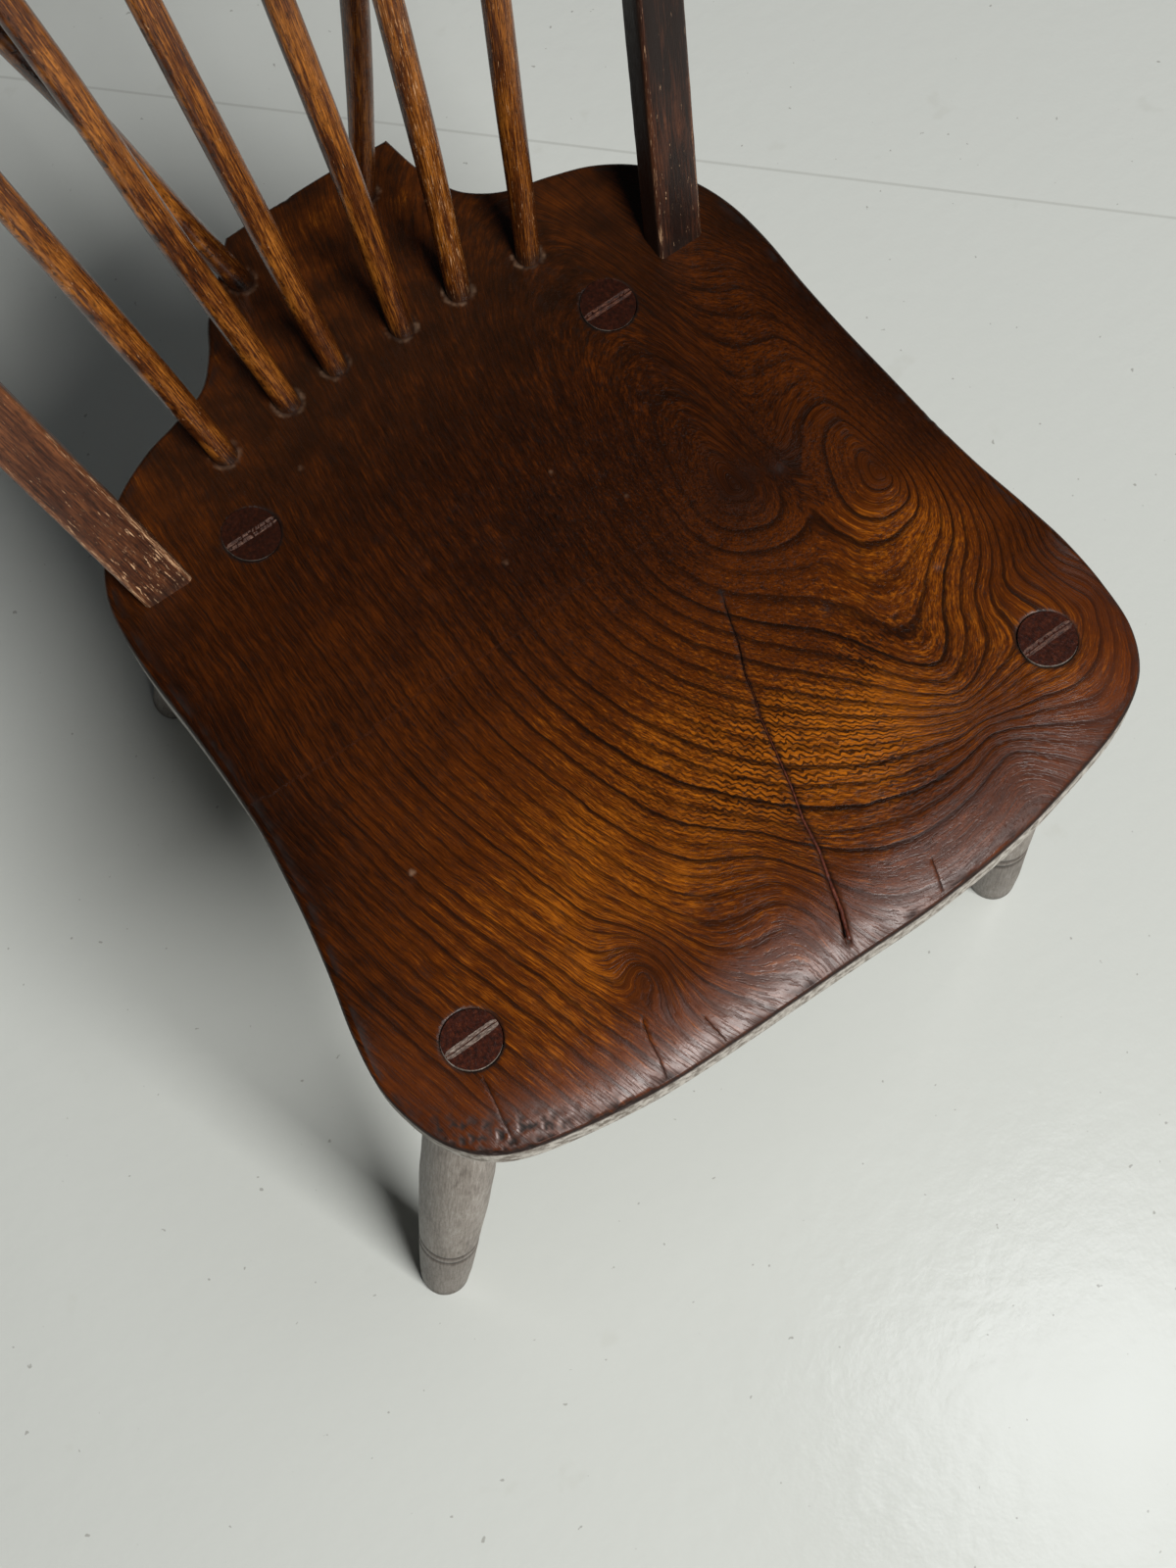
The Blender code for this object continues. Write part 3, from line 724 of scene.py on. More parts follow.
def makeSeat():
    edge = smoothLoop(seatEdge, {tailRight, tailLeft}, seatSize["outlineStep"])
    count = len(edge)
    rows, heights, faceTop, bite = seatRows(edge)
    inner = rows.pop()
    heights.pop()
    turns = np.linspace(0, 2 * np.pi, 57)[:-1]
    holes = [np.stack([hx + (tenonRadius + 0.45) * np.cos(turns),
                       hy + (tenonRadius + 0.45) * np.sin(turns)], axis=1)
             for (hx, hy), _ in legs.values()]
    crackLines = [(fineLine(line, 1.2, 0.16, len(name)), width, depth)
                  for name, (line, width, depth) in cracks.items()]
    flat, tris = seatTopMesh(edge, inner, holes, crackLines)
    x, y = flat[:, 0], flat[:, 1]
    rings, run = ringField(x, y)
    toRim = distanceTo(pointTree(inner), x, y)
    z, grime_and_shade, pale = seatTopShape(x, y, toRim, rings, crackLines)

    side = np.concatenate(rows)
    sideZ = np.concatenate(heights)
    verts = list(zip(side[:, 0].tolist(), side[:, 1].tolist(), sideZ.tolist()))
    base = len(verts)
    verts += list(zip(x.tolist(), y.tolist(), z.tolist()))
    faces = tubeFaces(len(rows), count)[:-1]
    # The flat mesh keeps its first points in order, so the inner rim's points come first in it.
    low = base - count
    for k in range(count):
        n = (k + 1) % count
        faces.append((low + k, low + n, base + n, base + k))
    faces += [tuple(t) for t in (tris + base).tolist()]
    # Each leg hole gets a wall and a floor.
    holeDepth = 6.0
    start = base + count
    for hole in holes:
        n = len(hole)
        first = len(verts)
        verts += [(px, py, pz - holeDepth) for px, py, pz in verts[start:start + n]]
        for k in range(n):
            m = (k + 1) % n
            faces.append((start + k, start + m, first + m, first + k))
        faces.append(tuple(range(first, first + n)))
        start += n

    extra = len(verts) - base - len(x)
    sideX, sideY = side[:, 0], side[:, 1]
    sideRings, sideRun = ringField(sideX, sideY)
    lipZ = np.tile(faceTop, len(rows))
    # The edge face is darker in the chips and in a thin line just under the lip.
    sideDarkening = np.clip(0.9 * np.tile(bite, len(rows)), 0, 0.9)
    sideDarkening = np.maximum(sideDarkening, 0.9 * smoothstep(2.4, 0.4, np.abs(lipZ + 0.4 - sideZ)))
    rimShare = frontShare(y) * np.exp(-(toRim / 24) ** 2)
    none = np.zeros(base)
    seat = makeObject("seat_board", [(a * mm, b * mm, c * mm) for a, b, c in verts], faces,
                      seatMaterial())
    for name, onSide, onTop, inHoles in (
            ("ring", sideRings, rings, 0.0), ("along", sideRun, run, 0.0),
            ("tone", toneAt(sideX, sideY), toneAt(x, y), 0.05),
            ("figure", none, figureAt(x, y), 0.0),
            ("grime_and_shade", sideDarkening, grime_and_shade, 0.95), ("pale", none, pale, 0.0),
            ("rim", 0.6 * frontShare(sideY), rimShare, 0.0),
            ("bare", smoothstep(0.3, 2.0, lipZ - sideZ), np.zeros(len(x)), 0.0)):
        setAttribute(seat, name, np.concatenate([onSide, onTop, np.full(extra, inHoles)]))
    finishPiece(seat, "seat")


# Turned pieces: the legs, with their tenon ends and wedges.

# A lathe-turned bar between two points in mm, with attributes for its grain.
def turnedBar(name, foot, head, profile, mat, count, wave, seed):
    foot = Vector(foot)
    head = Vector(head)
    axis = (head - foot).normalized()
    long = (head - foot).length
    side = axis.cross(Vector((0, 1, 0))).normalized()
    front = axis.cross(side)
    shares = [p[0] for p in profile]
    radii = [p[1] for p in profile]
    steps = max(40, int(long / 3))
    stations = sorted(set(np.linspace(shares[0], shares[-1], steps).tolist() + shares))
    verts = []
    turns = []
    runs = []
    for share in stations:
        radius = float(np.interp(share, shares, radii))
        centre = foot + axis * long * share
        bow = Vector((noise.noise((share * 3, seed, 1.0)), noise.noise((share * 3, seed, 5.0)), 0))
        centre += bow * wave * math.sin(math.pi * min(1, max(0, share)))
        for k in range(count):
            turn = 2 * math.pi * k / count
            flat = 1 + 0.018 * noise.noise((math.cos(turn) * 1.2, math.sin(turn) * 1.2 + seed,
                                            share * 9))
            out = side * math.cos(turn) + front * math.sin(turn)
            verts.append((centre + out * radius * flat) * mm)
            turns.append(math.sin(turn / 2) * 2 + seed)
            runs.append(share * long + seed * grainShift)
    bar = makeObject(name, verts, tubeFaces(len(stations), count), mat)
    setAttribute(bar, "turn", turns)
    setAttribute(bar, "along", runs)
    return bar, np.repeat(stations, count)


# Share of the leg's length from the foot up, and the radius there.
legProfile = [
    (0.000, 13.2), (0.006, 13.9), (0.070, 15.2), (0.150, 16.0), (0.204, 16.4), (0.206, 16.0),
    (0.212, 15.2), (0.218, 16.0), (0.220, 16.4), (0.230, 16.4), (0.232, 16.0), (0.238, 15.2),
    (0.244, 16.1), (0.247, 16.6), (0.330, 17.4), (0.440, 18.2), (0.550, 18.5), (0.660, 18.1),
    (0.760, 17.0), (0.850, 15.4), (0.905, 14.2), (1.000, 12.9)]


# One value for each leg, in the order of the legs above.
legWear = {
    "tenonGrime": (0.1, 0.25, 0.65, 0.55),
    "wedgeLift": (0.25, 0.1, 0.05, 0.1),
    # How pale each wedge top is: the front left wedge is weathered grey; on the rear left wedge the
    # paleness is a painted glint.
    "wedgeDustAndGlint": (1.0, 0.12, 0.22, 0.0),
    "grooves": (0.212, 0.238),    # shares of the leg's length
}


def makeLegs():
    mat = barWoodMaterial("leg_wood", legLook)
    tenonMat = tenonMaterial()
    wedgeMat = wedgeMaterial()
    for i, (name, ((hx, hy), (fx, fy))) in enumerate(legs.items()):
        foot = Vector((fx, fy, 0))
        head = Vector((hx, hy, topAt(hx, hy) + 0.7))
        long = (head - foot).length
        profile = [(-12 / long, 13.2)] + legProfile + [(1 + 8 / long, 12.8)]
        leg, share = turnedBar(name + "_turned", foot, head, profile, mat, 48, 0.5, 3.0 + i)
        grime_and_shade = np.zeros(len(share))
        for groove in legWear["grooves"]:
            grime_and_shade = np.maximum(grime_and_shade, np.exp(-((share - groove) / 0.0075) ** 2))
        grime_and_shade = np.maximum(grime_and_shade, 0.6 * np.exp(-(share / 0.03) ** 2))
        grime_and_shade = np.maximum(grime_and_shade, 0.22 * smoothstep(0.23, 0.20, share))
        grime_and_shade = np.maximum(grime_and_shade, (share > 0.99) * legWear["tenonGrime"][i])
        setAttribute(leg, "grime_and_shade", grime_and_shade)
        setAttribute(leg, "worn", np.full(len(share), 0.5))
        setAttribute(leg, "flake", 0.35 * np.exp(-(share / 0.15) ** 2))
        leg.data.materials.append(tenonMat)
        bm = bmesh.new()
        bm.from_mesh(leg.data)
        for height, keepUp in ((0.0, True), (head.z * mm, False)):
            geom = bm.verts[:] + bm.edges[:] + bm.faces[:]
            cut = bmesh.ops.bisect_plane(bm, geom=geom, plane_co=(0, 0, height), plane_no=(0, 0, 1),
                                         clear_inner=keepUp, clear_outer=not keepUp)
            rim = [e for e in cut["geom_cut"] if isinstance(e, bmesh.types.BMEdge)]
            caps = bmesh.ops.contextual_create(bm, geom=rim)["faces"]
            for cap in caps:
                cap.smooth = False
                if not keepUp:
                    cap.material_index = 1
        bmesh.ops.recalc_face_normals(bm, faces=bm.faces)
        bm.to_mesh(leg.data)
        bm.free()
        finishPiece(leg, name)
        makeWedge(name, hx, hy, head.z, wedgeMat, i)


# End grain of the tenon: dark, rubbed and faintly ringed.
def tenonMaterial():
    s = Shader("tenon_end")
    here = s.place()
    spots = s.noise(here, 520.0, 4.0, 0.65)
    streak = s.noise(s.stretch(here, (1.0, 0.35, 1.0)), 900.0, 3.0, 0.6)
    colour = s.ramp(spots, [(0.30, rgb(30, 11, 6)), (0.55, rgb(58, 23, 12)),
                            (0.75, rgb(88, 42, 22))])
    colour = s.mix(s.grade(streak, 0.55, 0.68, 0.0, 0.7), colour, rgb(20, 9, 6))
    colour = s.mix(s.attribute("grime_and_shade"), colour, rgb(20, 8, 4))
    s.set(Base_Color=colour, Roughness=0.28, Normal=s.bump(streak, 0.4, 0.0006))
    return s.mat


def wedgeMaterial():
    s = Shader("wedge_wood")
    here = s.place()
    streak = s.noise(s.stretch(here, (0.25, 1.0, 1.0)), 1100.0, 4.0, 0.7)
    colour = s.ramp(streak, [(0.34, rgb(26, 12, 8)), (0.50, rgb(62, 30, 18)),
                             (0.68, rgb(104, 62, 38))])
    paleWedgeColour = s.ramp(streak, [(0.34, rgb(34, 22, 16)), (0.50, rgb(98, 80, 70)),
                            (0.68, rgb(158, 144, 132))])
    # Pale where the wedge is weathered grey, and where a glint is painted in.
    colour = s.mix(s.attribute("dust_and_glint"), colour, paleWedgeColour)
    s.set(Base_Color=colour, Roughness=0.7, Normal=s.bump(streak, 0.6, 0.001))
    return s.mat


# The top of a driven wedge: a ragged strip, split along its length.
def makeWedge(legName, hx, hy, top, mat, i):
    rng = random.Random(20 + i)
    reach = tenonRadius - 0.1
    columns = 44
    verts = []
    lift = legWear["wedgeLift"][i]
    for k in range(columns + 1):
        t = -1 + 2 * k / columns
        x = hx + t * reach
        half = 2.0 * math.sqrt(max(0.3, 1 - (abs(t) ** 14)))
        split = 0.35 + 0.5 * math.sin(t * 3.1 + i)
        ragged = rng.uniform(-0.12, 0.12)
        row = [(-half + ragged, -1.2), (-half + ragged, lift + rng.uniform(-0.1, 0.1)),
               (-0.4 + split * 0.4, lift + rng.uniform(-0.15, 0.15)),
               (-0.1 + split * 0.4, lift - 1.0), (0.2 + split * 0.4, lift + rng.uniform(-0.2, 0.1)),
               (half + ragged * 0.6, lift + rng.uniform(-0.1, 0.1)), (half + ragged * 0.6, -1.2)]
        verts += [(x * mm, (hy + dy) * mm, (top + dz) * mm) for dy, dz in row]
    wedge = makeObject(legName.replace("leg", "wedge") + "_strip", verts,
                       tubeFaces(columns + 1, 7, True), mat, False)
    setAttribute(wedge, "dust_and_glint", np.full(len(verts), legWear["wedgeDustAndGlint"][i]))
    finishPiece(wedge, legName.replace("leg", "wedge"))


# The bent bow and the rods in it.

bowSize = {
    "lean": 0.337,
    "wide": 24.0,
    "thick": 15.0,
    "easeFront": 2.6,
    "easeBack": 1.8,
    "letIn": 24.0,
    "knee": 215.0,
    "height": 466.0,
    "shoulder": 112.0,
    "crown": 118.0,
    "left": (-143.8, 19.7, 0.21),
    "right": (145.4, 26.3, 0.18),
}
sticks = [((-86, 57), -155), ((-48, 62), -110), ((-20, 65), -53),
          ((16, 63), 18), ((48, 63), 84), ((85, 59), 142)]
braces = {"brace_left": ((-30, 130), -135), "brace_right": ((43, 135), 115)}


def bowPath(parts=40):
    b = bowSize
    halves = []
    for side, sign in (("right", 1), ("left", -1)):
        x0 = abs(b[side][0])
        splay = b[side][2]
        start = Vector((x0 - splay * b["letIn"], -b["letIn"]))
        knee = Vector((x0 + splay * b["knee"], b["knee"]))
        a = knee + Vector((splay, 1.0)) * b["shoulder"]
        c = Vector((b["crown"], b["height"]))
        end = Vector((0, b["height"]))
        run = [start.lerp(knee, t / parts) for t in range(parts)]
        for j in range(parts * 2 + 1):
            t = j / (parts * 2)
            run.append(knee * (1 - t) ** 3 + a * 3 * t * (1 - t) ** 2 + c * 3 * t * t * (1 - t)
                       + end * t ** 3)
        halves.append([(sign * p.x, p.y) for p in run])
    return halves[1][:-1] + halves[0][::-1]


def bowPoint(x, height):
    b = bowSize
    share = (x - b["left"][0]) / (b["right"][0] - b["left"][0])
    y = b["left"][1] + share * (b["right"][1] - b["left"][1])
    return Vector((x, y + b["lean"] * height, seatSize["top"] + height))


def bowHeightAt(x):
    upper = [p for p in bowPath() if p[1] > bowSize["knee"] + 15]
    return float(np.interp(x, [p[0] for p in upper], [p[1] for p in upper]))


# The bow's section: a bar with eased edges, softer on its front corners.
def bowSection():
    b = bowSize
    corners = [(-1, -1, 180), (1, -1, 270), (1, 1, 0), (-1, 1, 90)]
    section = []
    for i, (cornerX, cornerY, start) in enumerate(corners):
        ease = b["easeFront"] if cornerY < 0 else b["easeBack"]
        for j in range(5):
            turn = math.radians(start + 90 * j / 4)
            section.append((cornerX * (b["wide"] / 2 - ease) + ease * math.cos(turn),
                            cornerY * (b["thick"] / 2 - ease) + ease * math.sin(turn)))
        nextX, nextY, _ = corners[(i + 1) % 4]
        nextEase = b["easeFront"] if nextY < 0 else b["easeBack"]
        sx, sy = section[-1]
        if cornerY == nextY:
            ex, ey = nextX * (b["wide"] / 2 - nextEase), sy
        else:
            ex, ey = sx, nextY * (b["thick"] / 2 - nextEase)
        for j in range(1, 5):
            section.append((sx + (ex - sx) * j / 5, sy + (ey - sy) * j / 5))
    return section


def makeBow():
    b = bowSize
    mat = barWoodMaterial("bow_wood", bowLook)
    slant = math.atan(b["lean"])
    back = Vector((0, math.cos(slant), -math.sin(slant)))
    path = [bowPoint(x, h) for x, h in bowPath()]
    section = bowSection()
    count = len(section)
    verts = []
    turns = []
    runs = []
    corner = []
    length = 0.0
    marks = [0.0]
    for i in range(1, len(path)):
        length += (path[i] - path[i - 1]).length
        marks.append(length)
    for i, p in enumerate(path):
        ahead = path[min(i + 1, len(path) - 1)] - path[max(i - 1, 0)]
        out = ahead.normalized().cross(back).normalized()
        for k, (u, v) in enumerate(section):
            onCorner = 1.0 if (abs(abs(u) - b["wide"] / 2) < 2.2
                               and abs(abs(v) - b["thick"] / 2) < 2.2) else 0.0
            nick = noise.noise((marks[i] / 5, k * 0.9, 3.0))
            rough = 0.18 * noise.noise((marks[i] / 9, k * 0.5, 1.0))
            cutIn = max(0.0, nick - 0.25) * 2.2 * onCorner
            shrink = 1 - (cutIn + rough) / 12
            verts.append((p + out * u * shrink + back * v * shrink) * mm)
            turns.append(k / count * 9)
            runs.append(marks[i])
            corner.append(onCorner)
    bow = makeObject("bow_bent", verts, tubeFaces(len(path), count, True), mat)
    runs = np.array(runs)
    corner = np.array(corner)
    fromLeft = runs - b["letIn"] * 1.05
    fromRight = length - runs - b["letIn"] * 1.05
    setAttribute(bow, "turn", turns)
    setAttribute(bow, "along", runs)
    flake = (0.30 * corner + 0.42 * np.exp(-(fromLeft / 100) ** 2)
             + 0.22 * np.exp(-(fromRight / 80) ** 2))
    setAttribute(bow, "flake", flake)
    warm = np.exp(-((fromRight - 62) / 22) ** 2) + 0.8 * np.exp(-((fromLeft - 150) / 60) ** 2)
    dim = np.exp(-((fromRight - 120) / 30) ** 2)
    uprights = 0.06 * np.exp(-(fromLeft / 260) ** 2) - 0.24 * np.exp(-(fromRight / 260) ** 2)
    setAttribute(bow, "worn", 0.46 + 0.22 * corner + 0.16 * warm - 0.12 * dim + uprights)
    near = np.minimum(np.abs(fromLeft), np.abs(fromRight))
    # The side of the right upright that faces the sticks is painted dark: painted shade for a side
    # turned away from the light. The bow's ends are darker where they enter the seat.
    inside = np.array([1.0 if u < -b["wide"] / 2 + 0.5 else 0.0 for u, _ in section] * len(path))
    inside *= runs > length * 0.6
    setAttribute(bow, "grime_and_shade", np.maximum(0.5 * np.exp(-(near / 2.0) ** 2), 0.85 * inside))
    finishPiece(bow, "bow")


rodSize = {
    "radius": 6.5,
    "taper": [(0.0, 0.862), (0.07, 0.892), (0.30, 1.0), (0.60, 0.985), (0.90, 0.831), (1.0, 0.769)],
    "wave": 1.2,
    "rough": 0.18,
    "letIn": 22.0,
    "rows": 140,
    "sides": 32,
    "stickReach": -1.0,
    "braceReach": 3.0,
    "flake": (0.18, 0.12, 0.14, 0.16, 0.42, 0.30, 0.05, 0.15),
}


# One tree shaves every stick and brace: a line between two points, bent a little by noise,
# tapered by a curve and left slightly out of round. Lengths are in metres.
def rodTree():
    tree = bpy.data.node_groups.new("shaved_rod", "GeometryNodeTree")
    for name, kind in (("Foot", "Vector"), ("Head", "Vector"), ("Radius", "Float"),
                       ("Wave", "Float"), ("Rough", "Float"), ("Seed", "Float"),
                       ("Rows", "Int"), ("Sides", "Int"), ("Wood", "Material")):
        tree.interface.new_socket(name, in_out="INPUT", socket_type="NodeSocket" + kind)
    tree.interface.new_socket("Geometry", in_out="OUTPUT", socket_type="NodeSocketGeometry")
    g = NodeKit(tree)
    given = g.add("NodeGroupInput").outputs

    def store(geometry, name, value):
        return g.add("GeometryNodeStoreNamedAttribute",
                     {"Geometry": geometry, "Name": name, "Value": value},
                     data_type="FLOAT", domain="POINT").outputs[0]

    def scaled(vector, amount):
        return g.add("ShaderNodeVectorMath", {"Vector": vector, "Scale": amount},
                     operation="SCALE").outputs[0]

    def moved(geometry, offset):
        return g.add("GeometryNodeSetPosition",
                     {"Geometry": geometry, "Offset": offset}).outputs[0]

    line = g.add("GeometryNodeCurvePrimitiveLine",
                 {"Start": given["Foot"], "End": given["Head"]}, mode="POINTS").outputs[0]
    line = g.add("GeometryNodeResampleCurve",
                 {"Curve": line, "Count": given["Rows"]}).outputs[0]
    spline = g.add("GeometryNodeSplineParameter").outputs
    share = spline["Factor"]
    runs = g.math("MULTIPLY_ADD", given["Seed"], grainShift,
                  g.math("MULTIPLY", spline["Length"], 1 / mm))
    line = store(line, "along", runs)
    place = g.add("ShaderNodeCombineXYZ",
                  {"X": g.math("MULTIPLY", share, 3.0), "Y": given["Seed"]}).outputs[0]
    drift = g.add("ShaderNodeTexNoise", {"Vector": place, "Scale": 1.0, "Detail": 0.0})
    drift = g.add("ShaderNodeVectorMath", {0: drift.outputs["Color"], 1: (0.5, 0.5, 0.5)},
                  operation="SUBTRACT").outputs[0]
    swell = g.math("SINE", g.math("MULTIPLY", share, math.pi))
    sway = g.math("MULTIPLY", g.math("MULTIPLY", given["Wave"], 4.0), swell)
    line = moved(line, scaled(drift, sway))
    taper = g.add("ShaderNodeFloatCurve", {"Value": share})
    points = taper.mapping.curves[0].points
    while len(points) < len(rodSize["taper"]):
        points.new(0.5, 0.5)
    for point, (x, y) in zip(points, rodSize["taper"]):
        point.location = (x, y)
    taper.mapping.update()
    circle = g.add("GeometryNodeCurvePrimitiveCircle",
                   {"Resolution": given["Sides"], "Radius": 1.0}).outputs[0]
    index = g.add("GeometryNodeInputIndex").outputs[0]
    halfTurn = g.math("MULTIPLY", g.math("DIVIDE", index, given["Sides"]), math.pi)
    circle = store(circle, "turn", g.math("MULTIPLY_ADD", g.math("SINE", halfTurn), 2.0,
                                          given["Seed"]))
    rod = g.add("GeometryNodeCurveToMesh",
                {"Curve": line, "Profile Curve": circle, "Fill Caps": True,
                 "Scale": g.math("MULTIPLY", taper.outputs[0], given["Radius"])}).outputs[0]
    here = g.add("GeometryNodeInputPosition").outputs[0]
    lumps = g.add("ShaderNodeTexNoise", {"Vector": here, "Scale": 45.0, "Detail": 1.0}).outputs[0]
    lumps = g.math("MULTIPLY", g.math("SUBTRACT", lumps, 0.5), given["Rough"])
    rod = moved(rod, scaled(g.add("GeometryNodeInputNormal").outputs[0], lumps))
    rod = g.add("GeometryNodeRealizeInstances", {"Geometry": rod}).outputs[0]
    rod = g.add("GeometryNodeSetMaterial", {"Geometry": rod, "Material": given["Wood"]}).outputs[0]
    g.add("NodeGroupOutput", {"Geometry": rod})
    return tree


def shaveRod(name, tree, values):
    rod = bpy.data.objects.new(name, bpy.data.meshes.new(name + "_blank"))
    bpy.context.scene.collection.objects.link(rod)
    maker = rod.modifiers.new("shave", "NODES")
    maker.node_group = tree
    for socket in tree.interface.items_tree:
        if socket.in_out == "INPUT":
            maker[socket.identifier] = values[socket.name]
    ready = rod.evaluated_get(bpy.context.evaluated_depsgraph_get())
    mesh = bpy.data.meshes.new_from_object(ready)
    rod.modifiers.remove(maker)
    rod.data = mesh
    mesh.shade_smooth()
    runs = np.empty(len(mesh.vertices), dtype=np.float32)
    mesh.attributes["along"].data.foreach_get("value", runs)
    return rod, runs - values["Seed"] * grainShift


def makeRods():
    size = rodSize
    mat = barWoodMaterial("stick_wood", stickLook)
    tree = rodTree()
    rods = {f"stick_{k + 1}": (base, top, size["stickReach"])
            for k, (base, top) in enumerate(sticks)}
    rods.update({name: (base, top, size["braceReach"]) for name, (base, top) in braces.items()})
    for i, (name, ((bx, by), xTop, over)) in enumerate(rods.items()):
        foot = Vector((bx, by, topAt(bx, by)))
        head = bowPoint(xTop, bowHeightAt(xTop))
        axis = (head - foot).normalized()
        rod, runs = shaveRod(name + "_rod", tree, {
            "Foot": (foot - axis * size["letIn"]) * mm, "Head": (head + axis * over) * mm,
            "Radius": size["radius"] * mm, "Wave": size["wave"] * mm, "Rough": size["rough"] * mm,
            "Seed": 1.0 + i * 1.7, "Rows": size["rows"], "Sides": size["sides"], "Wood": mat})
        fromSeat = runs - size["letIn"]
        # The stick is darker just above the seat: a dark joint line with painted contact shade.
        setAttribute(rod, "grime_and_shade", 0.75 * np.exp(-(fromSeat / 5.0) ** 2))
        setAttribute(rod, "worn", 0.46 + 0.10 * smoothstep(0, 60, fromSeat))
        setAttribute(rod, "flake", np.full(len(runs), size["flake"][i]))
        finishPiece(rod, name)


# The filler in the long crack, and the nail.

def makeFiller():
    s = Shader("crack_filler")
    here = s.place()
    spots = s.noise(here, 420.0, 4.0, 0.65)
    colour = s.ramp(spots, [(0.3, rgb(44, 20, 14)), (0.55, rgb(86, 40, 26)),
                            (0.8, rgb(118, 62, 42))])
    s.set(Base_Color=colour, Roughness=0.42, Normal=s.bump(spots, 0.5, 0.0008))
    line, width, _ = cracks["long"]
    skipped = 18    # the crack's first points are too narrow to hold filler
    line = fineLine(line, 1.2, 0.1, 5)[skipped:]
    verts = []
    for i, (x, y) in enumerate(line):
        ax, ay = line[max(i - 1, 0)]
        bx, by = line[min(i + 1, len(line) - 1)]
        long = math.hypot(bx - ax, by - ay)
        nx, ny = -(by - ay) / long, (bx - ax) / long
        half = crackHalf(width, (i + skipped) / (len(line) + skipped - 1)) - 0.3
        half *= 0.8 + 0.35 * noise.noise((i * 0.4, 2.0, 0.0))
        top = topAt(x, y) - 0.28 + 0.18 * noise.noise((i * 0.23, 7.0, 0.0))
        for side, drop in ((-1, 1.6), (-0.8, 0.1), (0, 0.0), (0.8, 0.12), (1, 1.6)):
            verts.append(((x + nx * half * side) * mm, (y + ny * half * side) * mm,
                          (top - drop) * mm))
    filler = makeObject("crack_filler_strip", verts, tubeFaces(len(line), 5, True), s.mat)
    finishPiece(filler, "crack_filler")


nailSize = {
    "place": (-12, 143),
    "sides": 24,
    "colour": rgb(190, 184, 176),
    "gloss": 0.35,
    "mottle": 0.35,
    # Height over the seat and radius, from the shank up.
    "profile": [(-2.0, 0.9), (0.3, 0.9), (0.3, 2.0), (0.55, 2.15), (0.95, 1.8), (1.2, 1.1),
                (1.25, 0.1)],
}


def nailMaterial():
    look = nailSize
    s = Shader("nail_iron")
    spots = s.noise(s.place(), 600.0, 4.0, 0.7)
    dark = tuple(c * (1 - look["mottle"]) for c in look["colour"])
    light = tuple(min(1.0, c * (1 + look["mottle"])) for c in look["colour"])
    s.set(Base_Color=s.mix(spots, dark, light), Roughness=look["gloss"],
          Normal=s.bump(spots, 0.3, 0.0005))
    return s.mat


def makeNail():
    x, y = nailSize["place"]
    count = nailSize["sides"]
    profile = nailSize["profile"]
    top = topAt(x, y)
    verts = [((x + r * math.cos(2 * math.pi * k / count)) * mm,
              (y + r * math.sin(2 * math.pi * k / count)) * mm, (top + h) * mm)
             for h, r in profile for k in range(count)]
    nail = makeObject("nail_head", verts, tubeFaces(len(profile), count), nailMaterial())
    finishPiece(nail, "nail")


# The floor, the light and the camera.

floorLook = {
    "paint": rgb(206, 209, 204),
    "far": rgb(226, 229, 224),
    "gloss": 0.22,
    "reach": 4.0,
    "seam": (0.7184, 0.6956, 0.5185),    # direction across the seam and its distance, in metres
}


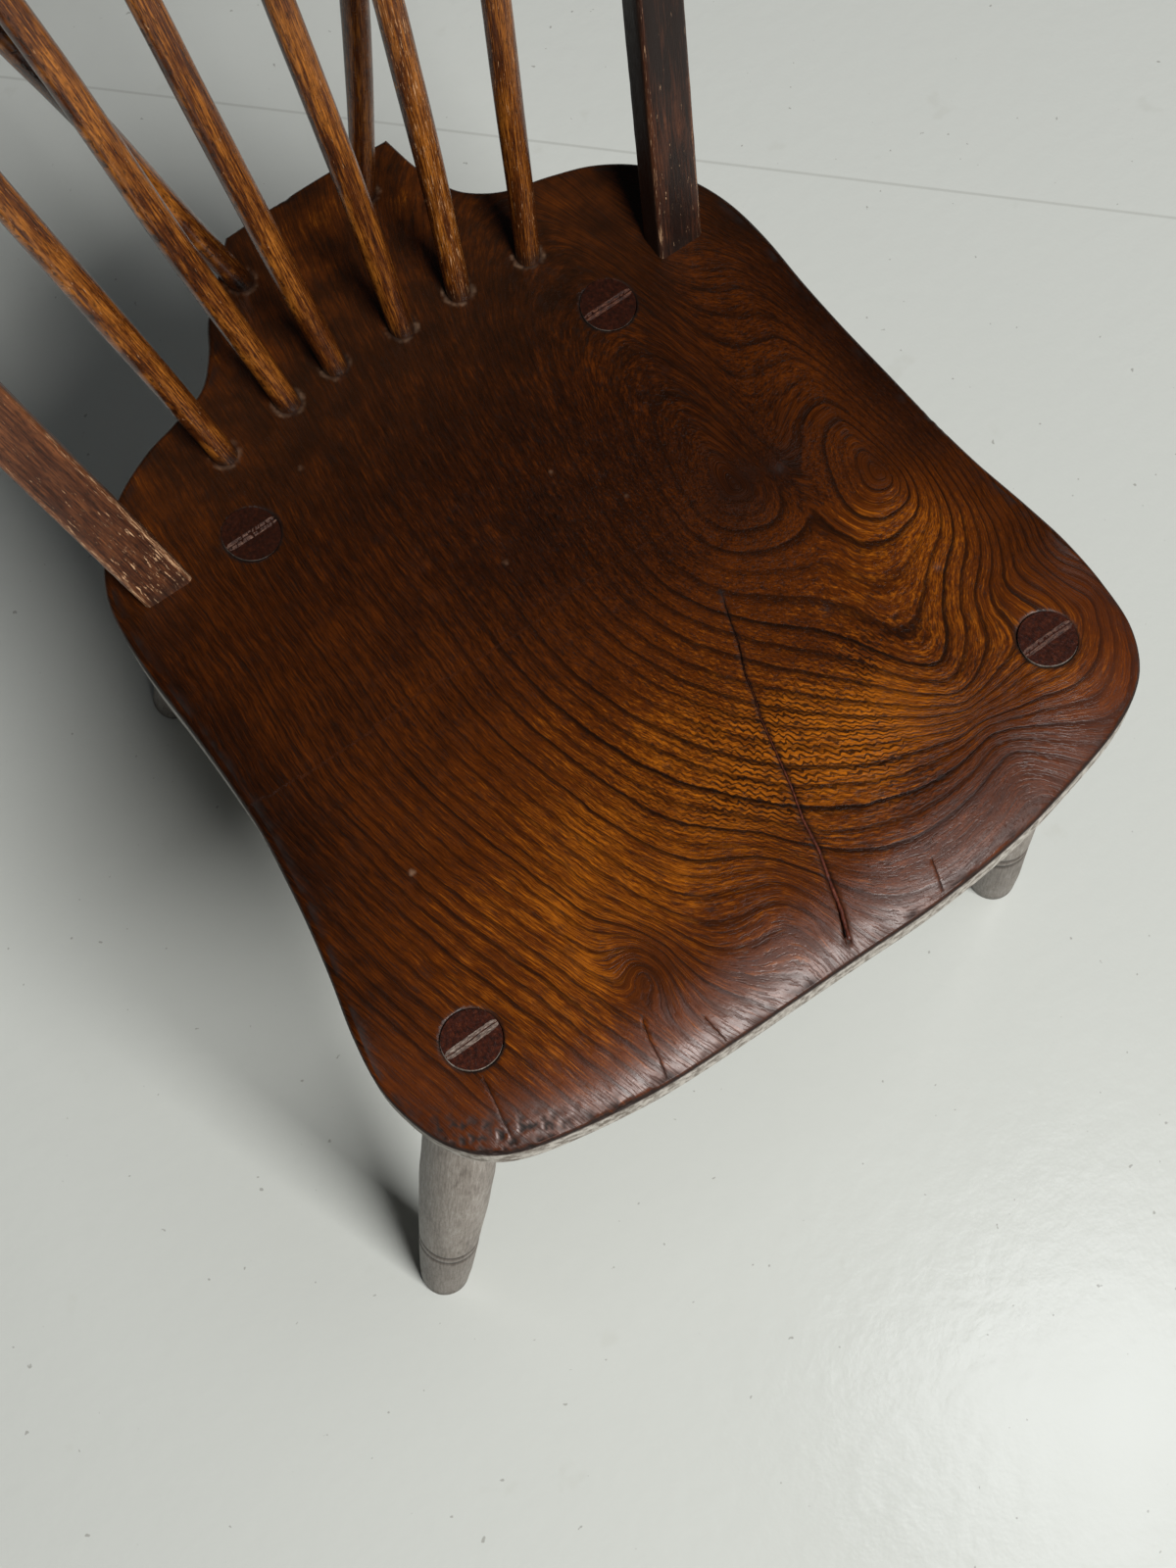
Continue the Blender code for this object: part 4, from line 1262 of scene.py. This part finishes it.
def makeFloor():
    s = Shader("floor_paint")
    here = s.place()
    cloud = s.noise(here, 1.6, 4.0, 0.55)
    colour = s.mix(cloud, tuple(c * 0.95 for c in floorLook["paint"]), floorLook["paint"])
    axes = s.axes(here)
    # The floor is painted lighter towards the back and the right: painted light, evening out how
    # the lamps' light falls off across the floor.
    away = s.grade(s.math("ADD", axes["Y"], s.math("MULTIPLY", axes["X"], 0.4)),
                   -0.2, 0.9, 0.0, 0.75)
    colour = s.mix(away, colour, floorLook["far"])
    stain = s.grade(s.noise(here, 22.0, 3.0, 0.6), 0.66, 0.74, 0.0, 0.10)
    colour = s.mix(stain, colour, rgb(168, 166, 150))
    seamX, seamY, seamAway = floorLook["seam"]
    seam = s.math("ADD", s.math("MULTIPLY", axes["X"], seamX), s.math("MULTIPLY", axes["Y"], seamY))
    seam = s.math("ABSOLUTE", s.math("SUBTRACT", seam, seamAway))
    colour = s.mix(s.grade(seam, 0.0004, 0.0016, 0.30, 0.0), colour, rgb(150, 150, 142))
    speck = s.grade(s.noise(here, 150.0, 2.0, 0.5), 0.735, 0.76, 0.0, 0.5)
    colour = s.mix(speck, colour, rgb(120, 116, 108))
    rough = s.math("ADD", s.math("MULTIPLY", s.noise(here, 7.0, 5.0, 0.6), 0.14),
                   floorLook["gloss"] - 0.10)
    ripples = s.noise(here, 60.0, 3.0, 0.55)
    fine = s.noise(here, 420.0, 2.0, 0.6)
    height = s.math("ADD", ripples, s.math("MULTIPLY", fine, 0.12))
    s.set(Base_Color=colour, Roughness=rough, Normal=s.bump(height, 0.14, 0.002))
    reach = floorLook["reach"]
    floor = makeObject("floor", [(-reach, -reach, 0), (reach, -reach, 0), (reach, reach, 0),
                                 (-reach, reach, 0)], [(0, 1, 2, 3)], s.mat, False)


# Metres and watts.
lamps = {
    "ceiling lamp": {"place": (0.52, -0.47, 2.5), "target": (0.52, -0.47, 0.0),
                     "size": (0.58, 0.52), "power": 4.9, "colour": (0.93, 0.96, 1.0)},
    "front window": {"place": (0.19, -2.03, 2.80), "target": (0.0, -0.05, 0.3),
                     "size": (1.06, 0.72), "power": 129, "colour": (1.0, 0.99, 0.97)},
}
roomLight = {"colour": (0.80, 0.84, 0.86, 1.0), "strength": 0.034}


def makeLight():
    for name, look in lamps.items():
        light = bpy.data.lights.new(name, "AREA")
        light.shape = "RECTANGLE"
        light.size, light.size_y = look["size"]
        light.energy = look["power"]
        light.color = look["colour"]
        lamp = bpy.data.objects.new(name, light)
        bpy.context.scene.collection.objects.link(lamp)
        lamp.location = look["place"]
        aim = Vector(look["target"]) - Vector(look["place"])
        lamp.rotation_euler = aim.to_track_quat("-Z", "Y").to_euler()
    world = bpy.data.worlds.new("room")
    world.use_nodes = True
    background = world.node_tree.nodes["Background"]
    background.inputs["Color"].default_value = roomLight["colour"]
    background.inputs["Strength"].default_value = roomLight["strength"]
    bpy.context.scene.world = world


# Metres and degrees, solved on the photograph; lens and sensor width in mm.
cameraView = {
    "place": (-0.20843, -0.44162, 1.38081),
    "turn": (20.877, 2.958, -35.677),
    "lens": 54.12,
    "sensor": 36,
}


def makeCamera():
    view = cameraView
    camera = bpy.data.objects.new("camera", bpy.data.cameras.new("camera"))
    bpy.context.scene.collection.objects.link(camera)
    camera.data.sensor_width = view["sensor"]
    camera.data.lens = view["lens"]
    camera.location = view["place"]
    camera.rotation_euler = Euler([math.radians(a) for a in view["turn"]], "XYZ")
    bpy.context.scene.camera = camera


scene = bpy.context.scene
scene.view_settings.view_transform = "Standard"
makeCamera()
makeSeat()
print("seat done")
makeLegs()
print("legs and wedges done")
makeBow()
makeRods()
print("bow, sticks and braces done")
makeFiller()
makeNail()
makeFloor()
makeLight()
print("floor and light done")
